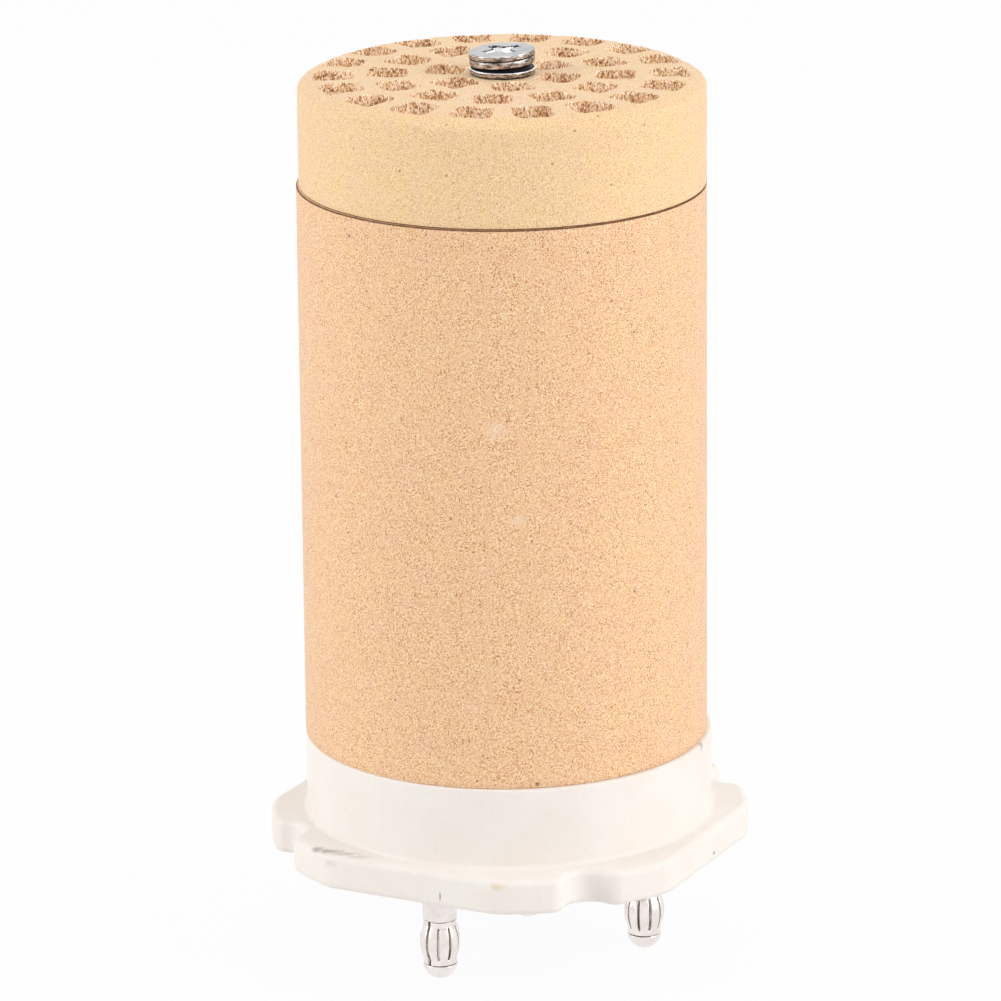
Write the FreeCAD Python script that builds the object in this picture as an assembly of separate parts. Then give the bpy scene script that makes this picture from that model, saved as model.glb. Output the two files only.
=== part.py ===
import FreeCAD, Part
import math
import os

# Plug-in air heater cartridge: a honeycomb ceramic core with two heating coils in its channels,
# a perforated end cap, a flanged terminal base with three spring contact pins, and one tie screw.
# Millimetres, +Z up. The origin is on the base's axis, in the plane of the pin tips.

# Honeycomb core and end cap
CORE_R = 23.5
CORE_LENGTH = 65.5
CORE_EDGE = 0.15             # chamfer where the core meets its neighbours
CAP_INSET = 0.14             # the cap is this much narrower than the core, all round
CAP_LENGTH = 12.6
CAP_PLATE = 7.6              # perforated thickness; below it the cap is hollow for the coil ends
CAP_SHOULDER = 3.2           # breadth of the face's worn shoulder, along the radius
CAP_SHOULDER_DROP = 1.2      # how far it falls towards the side
LIP_CHAMFER = 0.3            # broken edge round each hole in the cap's face

# The stack isn't quite in line: its pieces are clamped where the clearances let them lie
CORE_X = -0.28               # the core's axis, off the base's
CAP_X = -0.13
TIE_X = -0.04                # the tie screw with its washers and nut

# Channels: one trapezoid with rounded corners, repeated on three circles. Their depth along the
# radius is what the walls and webs leave of the core.
CHANNEL_WIDTH_IN = 4.0       # on the side that faces the axis
CHANNEL_WIDTH_OUT = 4.9
CHANNEL_CORNER_R = 1.0
CHANNEL_WEB = 1.8            # ceramic between two circles of channels
CORE_WALL = 2.1              # ceramic outside the outer circle
POST_MARGIN = 0.35           # ceramic from the cap's centre post to the inner circle
OUTER_COUNT, OUTER_START = 18, 0.0
MIDDLE_COUNT, MIDDLE_START = 12, -5.0
INNER_COUNT, INNER_START = 6, -20.0

# Terminal base: ring, notched square flange and the spider that carries the pins
RING_LIP = 0.25              # the ring is this much wider than the core, all round
RING_HEIGHT = 9.5
RING_EDGE_R = 0.3
RING_ROOT_R = 0.5
PLENUM_MARGIN = 0.15         # the air space clears the outer channels by this much
FLANGE_THICKNESS = 4.2
FLOOR_RECESS = 1.0           # the spider's underside lies this far above the flange's
FLANGE_EDGE_R = 0.8
FLANGE_SIDES = 4
FLANGE_TURN = -26.7          # angle of the first side's normal
SIDE_LEDGE = 2.15            # flange beyond the ring at the middle of a side
LOBE_LEDGE = 4.25            # at the rounded corners
NOTCH_LEDGE = 1.65           # at the floor of the notch in each corner
NOTCH_R = 2.9
NOTCH_BLEND_R = 1.8
SIDE_BLEND_R = 5.0
WINDOW_RIM = 3.35            # floor left between the ring's outside and the air windows
SPOKE_WIDTH = 7.0
SPARE_SPOKE = 154.0          # angle of the spoke that carries no pin
PIN_BOSS_R = 4.5
CENTRE_POST_R = 4.2          # carries the core round the tie screw
HUB_WALL = 1.3
HUB_HEIGHT = 3.0             # above the floor

# Tie screw with its washers and nut
SCREW_R = 1.95
SCREW_CLEARANCE = 0.45
THREAD_GAP = 0.05
HEAD_R = 3.8
HEAD_HEIGHT = 0.8
HEAD_BEVEL = 0.15
HEAD_TILT = 3.4              # the split washer holds the head up on the +X side
CROSS_LENGTH = 4.6
CROSS_WIDTH = 0.9
CROSS_DEPTH = 0.6
CROSS_PIT_R = 1.2
CROSS_PIT_DEPTH = 1.7
SPRING_WASHER_R = 3.75
SPRING_WASHER_THICKNESS = 0.8
SPLIT_WIDTH = 0.3
SPLIT_ANGLE = -74.0
SPLIT_SLANT = 35.0
FLAT_WASHER_THICKNESS = 1.0
FLAT_WASHER_BEVEL = 0.3
WASHER_GAP = 0.2             # round the screw, inside its washers
NUT_ACROSS_FLATS = 7.0
NUT_HEIGHT = 3.2
NUT_WASHER_R = 4.4
NUT_WASHER_THICKNESS = 0.8
NUT_RECESS_GAP = 0.3
NUT_RECESS_DEPTH = 4.0
SCREW_END = 0.6              # screw beyond the nut

# Contact pins. Each place is a share of the way from the hub to the windows' rim, as far as the
# pin's washer can go, its angle, and how many coil ends its stud holds: both end on the last one.
PIN_PLACES = ((0.43, -130.8, 1), (0.87, -0.9, 1), (0.19, 78.9, 2))
PIN_MARGIN = 0.2             # from a pin's washer to the hub or the rim
PIN_DROP = 13.85             # from the flange's underside to the tips
PIN_R = 2.0
PIN_NOSE_R = 1.1
PIN_NOSE_HEIGHT = 1.2
PIN_TIP_HEIGHT = 1.6
PIN_NECK_R = 1.6
PIN_COLLAR_R = 3.3
PIN_COLLAR_HEIGHT = 1.6
STUD_R = 1.5
STUD_CLEARANCE = 0.15
STUD_END = 0.8               # stud beyond the nut on the common pin
PIN_WASHER_R = 3.5
PIN_WASHER_THICKNESS = 0.5
PIN_NUT_ACROSS_FLATS = 5.5
PIN_NUT_HEIGHT = 2.4
SLEEVE_LENGTH = 5.5
SLEEVE_WALL = 0.3
SLEEVE_GAP = 0.05
SLEEVE_BULGE_R = 2.38
SLEEVE_BAND = 1.2            # straight stretch at the widest place
SLEEVE_RIM = 0.75            # unslotted ring at each end
SLOT_COUNT = 10
SLOT_WIDTH = 0.3
SEAM_WIDTH = 0.4             # the one slot that runs the whole length

# Heating coils, as plain tubes of the coil's outer size
COIL_CLEARANCE = 0.2
COIL_WALL = 0.3
COIL_OVERRUN = 2.0           # beyond each end of the core
BRIDGE_R = 0.6               # wire that crosses from channel to channel
BRIDGE_LEVEL = 1.1           # from the core's end
LEAD_R = 0.5
LEAD_BEND_R = 1.2
EYE_R = 3.0

# Levels and radii that follow from the sizes above
FLANGE_BOTTOM = PIN_DROP
FLOOR_BOTTOM = FLANGE_BOTTOM + FLOOR_RECESS
FLANGE_TOP = FLANGE_BOTTOM + FLANGE_THICKNESS
CORE_BOTTOM = FLANGE_TOP + RING_HEIGHT
CORE_TOP = CORE_BOTTOM + CORE_LENGTH
CAP_TOP = CORE_TOP + CAP_LENGTH
CHANNEL_SPACE = CORE_R - CORE_WALL - CENTRE_POST_R - POST_MARGIN
CHANNEL_DEPTH = (CHANNEL_SPACE - 2 * CHANNEL_WEB) / 3
OUTER_CIRCLE_R = CORE_R - CORE_WALL - CHANNEL_DEPTH / 2
MIDDLE_CIRCLE_R = OUTER_CIRCLE_R - CHANNEL_DEPTH - CHANNEL_WEB
INNER_CIRCLE_R = MIDDLE_CIRCLE_R - CHANNEL_DEPTH - CHANNEL_WEB
RING_R = CORE_R + RING_LIP
PLENUM_R = CORE_R - CORE_WALL
TIE_HOLE_R = SCREW_R + SCREW_CLEARANCE
NUT_RECESS_R = NUT_WASHER_R + NUT_RECESS_GAP
NUT_SEAT = FLOOR_BOTTOM + NUT_RECESS_DEPTH
HUB_R = NUT_RECESS_R + HUB_WALL
WINDOW_R = RING_R - WINDOW_RIM
PIN_INNERMOST_R = HUB_R + PIN_MARGIN + PIN_WASHER_R
PIN_OUTERMOST_R = WINDOW_R - PIN_MARGIN - PIN_WASHER_R
COIL_R = min(CHANNEL_WIDTH_IN, CHANNEL_DEPTH) / 2 - COIL_CLEARANCE
EYE_THICKNESS = 2 * LEAD_R
EYE_BOTTOM = FLANGE_TOP + PIN_WASHER_THICKNESS
STUD_TOP = EYE_BOTTOM + 2 * EYE_THICKNESS + PIN_NUT_HEIGHT + STUD_END
STUD_HOLE_R = STUD_R + STUD_CLEARANCE
THROUGH = 1.0                # how far a cutting tool runs past a face

UP = FreeCAD.Vector(0, 0, 1)
CORE_AXIS = FreeCAD.Vector(CORE_X, 0, 0)
CAP_AXIS = FreeCAD.Vector(CAP_X, 0, 0)
TIE_AXIS = FreeCAD.Vector(TIE_X, 0, 0)


def at(x, y, z=0.0):
    return FreeCAD.Vector(x, y, z)


def polar(radius, angle, z=0.0):
    turn = math.radians(angle)
    return at(radius * math.cos(turn), radius * math.sin(turn), z)


def cylinder(radius, low, high, centre=FreeCAD.Vector()):
    return Part.makeCylinder(radius, high - low, centre + at(0, 0, low), UP)


def washer(outer, inner, low, high, centre=FreeCAD.Vector()):
    return cylinder(outer, low, high, centre).cut(cylinder(inner, low - THROUGH, high + THROUGH, centre))


def hex_nut(across_flats, bore, low, high, centre):
    corner_r = across_flats / math.sqrt(3)
    corners = [centre + polar(corner_r, 60 * k, low) for k in range(7)]
    prism = Part.Face(Part.makePolygon(corners)).extrude(UP * (high - low))
    return prism.cut(cylinder(bore, low - THROUGH, high + THROUGH, centre))


def turned(points, arcs=()):
    """Solid of revolution from (radius, height) points. An arc is (index of its first point, middle)."""
    middles = dict(arcs)
    edges = []
    for k, (start, end) in enumerate(zip(points, points[1:] + points[:1])):
        a, b = at(start[0], 0, start[1]), at(end[0], 0, end[1])
        if k in middles:
            middle = middles[k]
            edges.append(Part.Arc(a, at(middle[0], 0, middle[1]), b).toShape())
        else:
            edges.append(Part.makeLine(a, b))
    return Part.Face(Part.Wire(edges)).revolve(FreeCAD.Vector(), UP, 360)


def rounded_outline(corners, radius):
    """Closed wire through the corners of a convex outline, each rounded to the radius."""
    spans = []
    for before, corner, after in zip(corners[-1:] + corners[:-1], corners, corners[1:] + corners[:1]):
        back = (before - corner).normalize()
        ahead = (after - corner).normalize()
        half = back.getAngle(ahead) / 2
        inward = (back + ahead).normalize()
        reach = radius / math.tan(half)
        nearest = corner + inward * (radius / math.sin(half) - radius)
        spans.append((corner + back * reach, nearest, corner + ahead * reach))
    edges = []
    for span, following in zip(spans, spans[1:] + spans[:1]):
        edges.append(Part.Arc(*span).toShape())
        edges.append(Part.makeLine(span[2], following[0]))
    return Part.Wire(edges)


def channel_places():
    """Radius and angle of every channel, circle by circle."""
    circles = (
        (OUTER_CIRCLE_R, OUTER_COUNT, OUTER_START),
        (MIDDLE_CIRCLE_R, MIDDLE_COUNT, MIDDLE_START),
        (INNER_CIRCLE_R, INNER_COUNT, INNER_START),
    )
    return [(r, start + 360 * k / count) for r, count, start in circles for k in range(count)]


def channel_outline(radius, grow, z):
    """The channel's section on +X at this radius, grown outwards by a margin."""
    inner, outer = radius - CHANNEL_DEPTH / 2 - grow, radius + CHANNEL_DEPTH / 2 + grow
    half_in, half_out = CHANNEL_WIDTH_IN / 2 + grow, CHANNEL_WIDTH_OUT / 2 + grow
    corners = [at(inner, half_in, z), at(inner, -half_in, z), at(outer, -half_out, z), at(outer, half_out, z)]
    return rounded_outline(corners, CHANNEL_CORNER_R + grow)


def channel_tools(low, high, axis):
    """One prism for each channel, between two levels, round the core's or the cap's axis."""
    tools = []
    for radius, angle in channel_places():
        prism = Part.Face(channel_outline(radius, 0, low)).extrude(UP * (high - low))
        prism.rotate(FreeCAD.Vector(), UP, angle)
        tools.append(prism.translated(axis))
    return tools


def lip_tools():
    """Tapered tools that break the edge of each hole in the cap's face."""
    tools = []
    for radius, angle in channel_places():
        low = channel_outline(radius, 0, CAP_TOP - LIP_CHAMFER)
        high = channel_outline(radius, LIP_CHAMFER, CAP_TOP)
        taper = Part.makeLoft([low, high], True, True)
        taper.rotate(FreeCAD.Vector(), UP, angle)
        tools.append(taper.translated(CAP_AXIS))
    return tools


def edges_at(shape, z, radius=None):
    """Edges that lie wholly at one level, or only the circle of one radius there."""
    found = []
    for edge in shape.Edges:
        box = edge.BoundBox
        if abs(box.ZMin - z) > 1e-4 or abs(box.ZMax - z) > 1e-4:
            continue
        if radius is not None:
            if not isinstance(edge.Curve, Part.Circle) or abs(edge.Curve.Radius - radius) > 1e-4:
                continue
        found.append(edge)
    return found


def heater_core():
    body = turned([
        (0, CORE_BOTTOM),
        (CORE_R - CORE_EDGE, CORE_BOTTOM),
        (CORE_R, CORE_BOTTOM + CORE_EDGE),
        (CORE_R, CORE_TOP - CORE_EDGE),
        (CORE_R - CORE_EDGE, CORE_TOP),
        (0, CORE_TOP),
    ]).translated(CORE_AXIS)
    tools = channel_tools(CORE_BOTTOM - THROUGH, CORE_TOP + THROUGH, CORE_AXIS)
    tools.append(cylinder(TIE_HOLE_R, CORE_BOTTOM - THROUGH, CORE_TOP + THROUGH, CORE_AXIS))
    return body.cut(Part.makeCompound(tools))


def end_cap():
    radius = CORE_R - CAP_INSET
    hollow_top = CAP_TOP - CAP_PLATE
    shoulder_r = (CAP_SHOULDER ** 2 + CAP_SHOULDER_DROP ** 2) / (2 * CAP_SHOULDER_DROP)
    half = math.asin(CAP_SHOULDER / shoulder_r) / 2
    shoulder_middle = (radius - CAP_SHOULDER + shoulder_r * math.sin(half),
                       CAP_TOP - shoulder_r * (1 - math.cos(half)))
    body = turned([
        (CENTRE_POST_R, CORE_TOP),
        (CENTRE_POST_R, hollow_top),
        (CORE_R - CORE_WALL, hollow_top),
        (CORE_R - CORE_WALL, CORE_TOP),
        (radius - CORE_EDGE, CORE_TOP),
        (radius, CORE_TOP + CORE_EDGE),
        (radius, CAP_TOP - CAP_SHOULDER_DROP),
        (radius - CAP_SHOULDER, CAP_TOP),
        (TIE_HOLE_R, CAP_TOP),
        (TIE_HOLE_R, CORE_TOP),
    ], [(6, shoulder_middle)]).translated(CAP_AXIS)
    tools = channel_tools(CORE_TOP - THROUGH, CAP_TOP + THROUGH, CAP_AXIS)
    return body.cut(Part.makeCompound(tools)).cut(Part.makeCompound(lip_tools()))


def flange_plate():
    """Square plate with its corners rounded to a circle and a notch in each corner."""
    apothem = RING_R + SIDE_LEDGE
    lobe_r = RING_R + LOBE_LEDGE
    square = Part.makeBox(2 * apothem, 2 * apothem, FLANGE_THICKNESS, at(-apothem, -apothem, FLANGE_BOTTOM))
    plate = square.common(cylinder(lobe_r, FLANGE_BOTTOM, FLANGE_TOP))
    step = 360 / FLANGE_SIDES
    corner_angles = [step * (k + 0.5) for k in range(FLANGE_SIDES)]
    for angle in corner_angles:
        centre = polar(RING_R + NOTCH_LEDGE + NOTCH_R, angle)
        plate = plate.cut(cylinder(NOTCH_R, FLANGE_BOTTOM - THROUGH, FLANGE_TOP + THROUGH, centre))
    mouths, shoulders = [], []
    for edge in plate.Edges:
        box = edge.BoundBox
        if box.ZMax - box.ZMin < FLANGE_THICKNESS / 2:
            continue
        angle = math.degrees(math.atan2(box.Center.y, box.Center.x)) % step
        near_notch = abs(angle - step / 2) < math.degrees(2 * NOTCH_R / lobe_r)
        (mouths if near_notch else shoulders).append(edge)
    plate = plate.makeFillet(SIDE_BLEND_R, shoulders)
    mouths = [edge for edge in plate.Edges if any(same_upright(edge, mouth) for mouth in mouths)]
    plate = plate.makeFillet(NOTCH_BLEND_R, mouths)
    plate = plate.makeFillet(FLANGE_EDGE_R, edges_at(plate, FLANGE_BOTTOM) + edges_at(plate, FLANGE_TOP))
    plate.rotate(FreeCAD.Vector(), UP, FLANGE_TURN)
    return plate


def same_upright(edge, other):
    """True where two upright edges stand at the same place."""
    return edge.BoundBox.Center.distanceToPoint(other.BoundBox.Center) < 1e-3


def pin_places():
    span = PIN_OUTERMOST_R - PIN_INNERMOST_R
    return [polar(PIN_INNERMOST_R + share * span, angle) for share, angle, _ in PIN_PLACES]


def window_tool():
    """Air windows in the floor: a ring cut by the hub, the spokes and the pin bosses."""
    low, high = FLANGE_BOTTOM - THROUGH, FLANGE_TOP + THROUGH
    tool = washer(WINDOW_R, HUB_R, low, high)
    for angle in [angle for _, angle, _ in PIN_PLACES] + [SPARE_SPOKE]:
        spoke = Part.makeBox(RING_R, SPOKE_WIDTH, high - low, at(0, -SPOKE_WIDTH / 2, low))
        spoke.rotate(FreeCAD.Vector(), UP, angle)
        tool = tool.cut(spoke)
    for place in pin_places():
        tool = tool.cut(cylinder(PIN_BOSS_R, low, high, place))
    return tool


def terminal_base():
    ring = cylinder(RING_R, FLANGE_TOP - FLANGE_THICKNESS / 2, CORE_BOTTOM)
    body = flange_plate().fuse(ring).removeSplitter()
    body = body.makeFillet(RING_ROOT_R, edges_at(body, FLANGE_TOP, RING_R))
    body = body.makeFillet(RING_EDGE_R, edges_at(body, CORE_BOTTOM, RING_R))
    plenum = cylinder(PLENUM_R + PLENUM_MARGIN, FLANGE_TOP, CORE_BOTTOM + THROUGH)
    plenum = plenum.cut(cylinder(HUB_R, FLANGE_TOP, FLANGE_TOP + HUB_HEIGHT))
    plenum = plenum.cut(cylinder(CENTRE_POST_R, FLANGE_TOP, CORE_BOTTOM))
    body = body.cut(plenum).cut(window_tool())
    holes = [
        cylinder(TIE_HOLE_R, FLANGE_BOTTOM - THROUGH, CORE_BOTTOM + THROUGH),
        cylinder(NUT_RECESS_R, FLANGE_BOTTOM - THROUGH, NUT_SEAT),
        cylinder(WINDOW_R, FLANGE_BOTTOM - THROUGH, FLOOR_BOTTOM),
    ]
    for place in pin_places():
        holes.append(cylinder(STUD_HOLE_R, FLANGE_BOTTOM - THROUGH, FLANGE_TOP + THROUGH, place))
    return body.cut(Part.makeCompound(holes))


def tilted(shape):
    """Tips a washer or head about the -X end of the flat washer's top face."""
    shape = shape.copy()
    shape.rotate(at(TIE_X - HEAD_R, 0, CAP_TOP + FLAT_WASHER_THICKNESS), at(0, 1, 0), -HEAD_TILT)
    return shape


def flat_washer():
    low, high = CAP_TOP, CAP_TOP + FLAT_WASHER_THICKNESS
    inner = SCREW_R + WASHER_GAP
    return turned([
        (inner, low),
        (HEAD_R - FLAT_WASHER_BEVEL, low),
        (HEAD_R, low + FLAT_WASHER_BEVEL),
        (HEAD_R, high),
        (inner, high),
    ]).translated(TIE_AXIS)


def spring_washer():
    low = CAP_TOP + FLAT_WASHER_THICKNESS
    high = low + SPRING_WASHER_THICKNESS
    ring = washer(SPRING_WASHER_R, SCREW_R + WASHER_GAP, low, high, TIE_AXIS)
    cut = Part.makeBox(SPRING_WASHER_R, SPLIT_WIDTH, 4 * SPRING_WASHER_THICKNESS)
    cut.translate(at(0, -SPLIT_WIDTH / 2, -2 * SPRING_WASHER_THICKNESS))
    cut.rotate(FreeCAD.Vector(), at(1, 0, 0), SPLIT_SLANT)
    cut.rotate(FreeCAD.Vector(), UP, SPLIT_ANGLE)
    cut.translate(TIE_AXIS + at(0, 0, (low + high) / 2))
    return tilted(ring.cut(cut))


def tie_screw():
    low = CAP_TOP + FLAT_WASHER_THICKNESS + SPRING_WASHER_THICKNESS
    high = low + HEAD_HEIGHT
    head = turned([
        (0, low),
        (HEAD_R - HEAD_BEVEL, low),
        (HEAD_R, low + HEAD_BEVEL),
        (HEAD_R, high - HEAD_BEVEL),
        (HEAD_R - HEAD_BEVEL, high),
        (0, high),
    ]).translated(TIE_AXIS)
    head = tilted(head)
    nut_bottom = NUT_SEAT - NUT_WASHER_THICKNESS - NUT_HEIGHT
    shank = cylinder(SCREW_R, nut_bottom - SCREW_END, low + HEAD_HEIGHT / 2, TIE_AXIS)
    pit_bottom = TIE_AXIS + at(0, 0, high - CROSS_PIT_DEPTH)
    recess = Part.makeCone(0, CROSS_PIT_R, CROSS_PIT_DEPTH, pit_bottom, UP)
    for turn in (30, 120):
        bar = Part.makeBox(CROSS_LENGTH, CROSS_WIDTH, CROSS_DEPTH + THROUGH)
        bar.translate(at(-CROSS_LENGTH / 2, -CROSS_WIDTH / 2, 0))
        bar.rotate(FreeCAD.Vector(), UP, turn)
        recess = recess.fuse(bar.translated(TIE_AXIS + at(0, 0, high - CROSS_DEPTH)))
    return head.fuse(shank).cut(tilted(recess)).removeSplitter()


def tie_nut_washer():
    return washer(NUT_WASHER_R - abs(TIE_X), SCREW_R + WASHER_GAP,
                  NUT_SEAT - NUT_WASHER_THICKNESS, NUT_SEAT, TIE_AXIS)


def tie_nut():
    high = NUT_SEAT - NUT_WASHER_THICKNESS
    return hex_nut(NUT_ACROSS_FLATS, SCREW_R + THREAD_GAP, high - NUT_HEIGHT, high, TIE_AXIS)


def contact_pin(place):
    """Turned pin: nose, neck for the sleeve, plain shank, collar under the flange, and stud."""
    neck_top = PIN_TIP_HEIGHT + SLEEVE_LENGTH
    bend = math.sqrt(0.5)
    nose_middle = (PIN_NOSE_R + (PIN_R - PIN_NOSE_R) * bend, PIN_NOSE_HEIGHT * (1 - bend))
    return turned([
        (0, 0),
        (PIN_NOSE_R, 0),
        (PIN_R, PIN_NOSE_HEIGHT),
        (PIN_R, PIN_TIP_HEIGHT),
        (PIN_NECK_R, PIN_TIP_HEIGHT),
        (PIN_NECK_R, neck_top),
        (PIN_R, neck_top),
        (PIN_R, FLOOR_BOTTOM - PIN_COLLAR_HEIGHT),
        (PIN_COLLAR_R, FLOOR_BOTTOM - PIN_COLLAR_HEIGHT),
        (PIN_COLLAR_R, FLOOR_BOTTOM),
        (STUD_R, FLOOR_BOTTOM),
        (STUD_R, STUD_TOP),
        (0, STUD_TOP),
    ], [(1, nose_middle)]).translated(place)


def contact_sleeve(place, angle):
    """Spring sleeve: a slotted tube that bulges between its two end rings."""
    low, high = PIN_TIP_HEIGHT, PIN_TIP_HEIGHT + SLEEVE_LENGTH
    ring_out = PIN_NECK_R + SLEEVE_GAP + SLEEVE_WALL
    ring_in, bulge_in = ring_out - SLEEVE_WALL, SLEEVE_BULGE_R - SLEEVE_WALL
    rise = SLEEVE_BULGE_R - ring_out
    middle = (low + high) / 2
    band_low, band_high = middle - SLEEVE_BAND / 2, middle + SLEEVE_BAND / 2
    run = band_low - low - SLEEVE_RIM
    bow_r = (rise ** 2 + run ** 2) / (2 * rise)
    half_turn = math.asin(run / bow_r) / 2
    sag = bow_r * (1 - math.cos(half_turn))
    reach = bow_r * math.sin(half_turn)
    sleeve = turned([
        (ring_out, low),
        (ring_out, low + SLEEVE_RIM),
        (SLEEVE_BULGE_R, band_low),
        (SLEEVE_BULGE_R, band_high),
        (ring_out, high - SLEEVE_RIM),
        (ring_out, high),
        (ring_in, high),
        (ring_in, high - SLEEVE_RIM),
        (bulge_in, band_high),
        (bulge_in, band_low),
        (ring_in, low + SLEEVE_RIM),
        (ring_in, low),
    ], [
        (1, (SLEEVE_BULGE_R - sag, band_low - reach)),
        (3, (SLEEVE_BULGE_R - sag, band_high + reach)),
        (7, (bulge_in - sag, band_high + reach)),
        (9, (bulge_in - sag, band_low - reach)),
    ])
    tools = []
    for k in range(SLOT_COUNT):
        whole = k == 0
        width = SEAM_WIDTH if whole else SLOT_WIDTH
        start = low - THROUGH if whole else low + SLEEVE_RIM
        end = high + THROUGH if whole else high - SLEEVE_RIM
        slot = Part.makeBox(PIN_COLLAR_R, width, end - start, at(0, -width / 2, start))
        slot.rotate(FreeCAD.Vector(), UP, angle + 360 * k / SLOT_COUNT)
        tools.append(slot)
    return sleeve.cut(Part.makeCompound(tools)).translated(place)


def pin_nut(place, eyes):
    low = EYE_BOTTOM + eyes * EYE_THICKNESS
    return hex_nut(PIN_NUT_ACROSS_FLATS, STUD_R + THREAD_GAP, low, low + PIN_NUT_HEIGHT, place)


def outer_circuit():
    """Channel centres of the first coil: once round the outer circle, from the gap at the left."""
    first = OUTER_COUNT * 4 // 9
    return [polar(OUTER_CIRCLE_R, OUTER_START + 360 * (first + k) / OUTER_COUNT) + CORE_AXIS
            for k in range(OUTER_COUNT)]


def inner_circuit():
    """Channel centres of the second coil: round the middle circle, then round the inner one."""
    middle = [polar(MIDDLE_CIRCLE_R, MIDDLE_START - 360 * (k + 1) / MIDDLE_COUNT) + CORE_AXIS
              for k in range(MIDDLE_COUNT)]
    inner = [polar(INNER_CIRCLE_R, INNER_START - 360 * k / INNER_COUNT) + CORE_AXIS
             for k in range(INNER_COUNT)]
    return middle + inner


def bridge(start, end, z):
    """Straight wire between the walls of two neighbouring coil tubes."""
    along = (end - start).normalize()
    wall = COIL_R - COIL_WALL / 2
    return Part.makeCylinder(BRIDGE_R, (end - start).Length - 2 * wall, start + along * wall + at(0, 0, z), along)


def lead(channel, pin, level):
    """Wire from a coil's lower end down to the floor, then across to its eye on the stud."""
    along = (pin - channel).normalize()
    start = channel + along * (COIL_R - COIL_WALL / 2)
    finish = pin - along * ((EYE_R + STUD_HOLE_R) / 2)
    z = EYE_BOTTOM + level * EYE_THICKNESS + LEAD_R
    top = CORE_BOTTOM - COIL_OVERRUN + LEAD_R
    bend = LEAD_BEND_R
    rise = LEAD_BEND_R * (1 - math.sqrt(0.5))
    corner = start + at(0, 0, z)
    path = Part.Wire([
        Part.makeLine(start + at(0, 0, top), corner + at(0, 0, bend)),
        Part.Arc(corner + at(0, 0, bend), corner + along * rise + at(0, 0, rise), corner + along * bend).toShape(),
        Part.makeLine(corner + along * bend, finish + at(0, 0, z)),
    ])
    section = Part.Wire(Part.makeCircle(LEAD_R, start + at(0, 0, top), UP))
    wire = path.makePipeShell([section], True, True)
    eye = washer(EYE_R, STUD_HOLE_R, z - LEAD_R, z + LEAD_R, pin)
    return wire.fuse(eye)


def heating_coil(channels, first_pin, first_level, last_pin, last_level):
    """One circuit: a tube in each channel, bridged at the top and at the bottom in turn."""
    low, high = CORE_BOTTOM - COIL_OVERRUN, CORE_TOP + COIL_OVERRUN
    tubes = [washer(COIL_R, COIL_R - COIL_WALL, low, high, centre) for centre in channels]
    bridges = []
    for k in range(len(channels) - 1):
        z = CORE_TOP + BRIDGE_LEVEL if k % 2 == 0 else CORE_BOTTOM - BRIDGE_LEVEL
        bridges.append(bridge(channels[k], channels[k + 1], z))
    leads = [
        lead(channels[0], first_pin, first_level),
        lead(channels[-1], last_pin, last_level),
    ]
    return tubes[0].multiFuse(tubes[1:] + bridges + leads)


def build():
    places = pin_places()
    first, second, common = places
    parts = {
        "end_cap": end_cap(),
        "heater_core": heater_core(),
        "terminal_base": terminal_base(),
        "tie_screw": tie_screw(),
        "spring_washer": spring_washer(),
        "flat_washer": flat_washer(),
        "tie_nut": tie_nut(),
        "tie_nut_washer": tie_nut_washer(),
        "heating_coil_1": heating_coil(outer_circuit(), common, 0, first, 0),
        "heating_coil_2": heating_coil(inner_circuit(), second, 0, common, 1),
    }
    for k, (place, (_, angle, eyes)) in enumerate(zip(places, PIN_PLACES)):
        number = k + 1
        parts["contact_pin_%d" % number] = contact_pin(place)
        parts["contact_sleeve_%d" % number] = contact_sleeve(place, angle)
        parts["pin_washer_%d" % number] = washer(PIN_WASHER_R, STUD_HOLE_R, FLANGE_TOP, EYE_BOTTOM, place)
        parts["pin_nut_%d" % number] = pin_nut(place, eyes)
    return parts


os.makedirs("parts", exist_ok=True)
for name, shape in build().items():
    print(name, "solids", len(shape.Solids), "valid", shape.isValid(), "volume", round(shape.Volume, 1))
    shape.exportStep("parts/%s.step" % name)
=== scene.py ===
import bmesh
import bpy
import math
import numpy as np
from mathutils import Matrix, Vector, noise
from mathutils.geometry import delaunay_2d_cdt


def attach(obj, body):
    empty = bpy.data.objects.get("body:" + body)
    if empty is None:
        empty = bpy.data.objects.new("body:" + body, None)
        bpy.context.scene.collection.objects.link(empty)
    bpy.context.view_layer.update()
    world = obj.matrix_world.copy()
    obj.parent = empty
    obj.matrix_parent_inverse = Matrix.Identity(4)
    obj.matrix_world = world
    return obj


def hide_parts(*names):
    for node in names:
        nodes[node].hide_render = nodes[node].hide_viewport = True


# The plug-in air heater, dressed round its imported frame. Shapes are worked out in millimetres.

MM = 0.001

# Sizes and angles that the part's source has or works out
CORE_R = 23.5
CORE_LENGTH = 65.5
CORE_EDGE = 0.15
CAP_INSET = 0.14
CAP_LENGTH = 12.6
CAP_PLATE = 7.6
CAP_SHOULDER = 3.2
CAP_SHOULDER_DROP = 1.2
CORE_X = -0.28
CAP_X = -0.13
TIE_X = -0.04
CHANNEL_WIDTH_IN = 4.0
CHANNEL_WIDTH_OUT = 4.9
CHANNEL_CORNER_R = 1.0
CHANNEL_WEB = 1.8
CORE_WALL = 2.1
POST_MARGIN = 0.35
CIRCLES = ((18, 0.0), (12, -5.0), (6, -20.0))    # how many channels, and the first one's angle
RING_HEIGHT = 9.5
FLANGE_THICKNESS = 4.2
FLOOR_RECESS = 1.0
CENTRE_POST_R = 4.2
SCREW_R = 1.95
SCREW_CLEARANCE = 0.45
HEAD_R = 3.8
HEAD_HEIGHT = 0.8
HEAD_TILT = 3.4
CROSS_LENGTH = 4.6
CROSS_DEPTH = 0.6
CROSS_PIT_R = 1.2
SPRING_WASHER_R = 3.75
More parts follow.
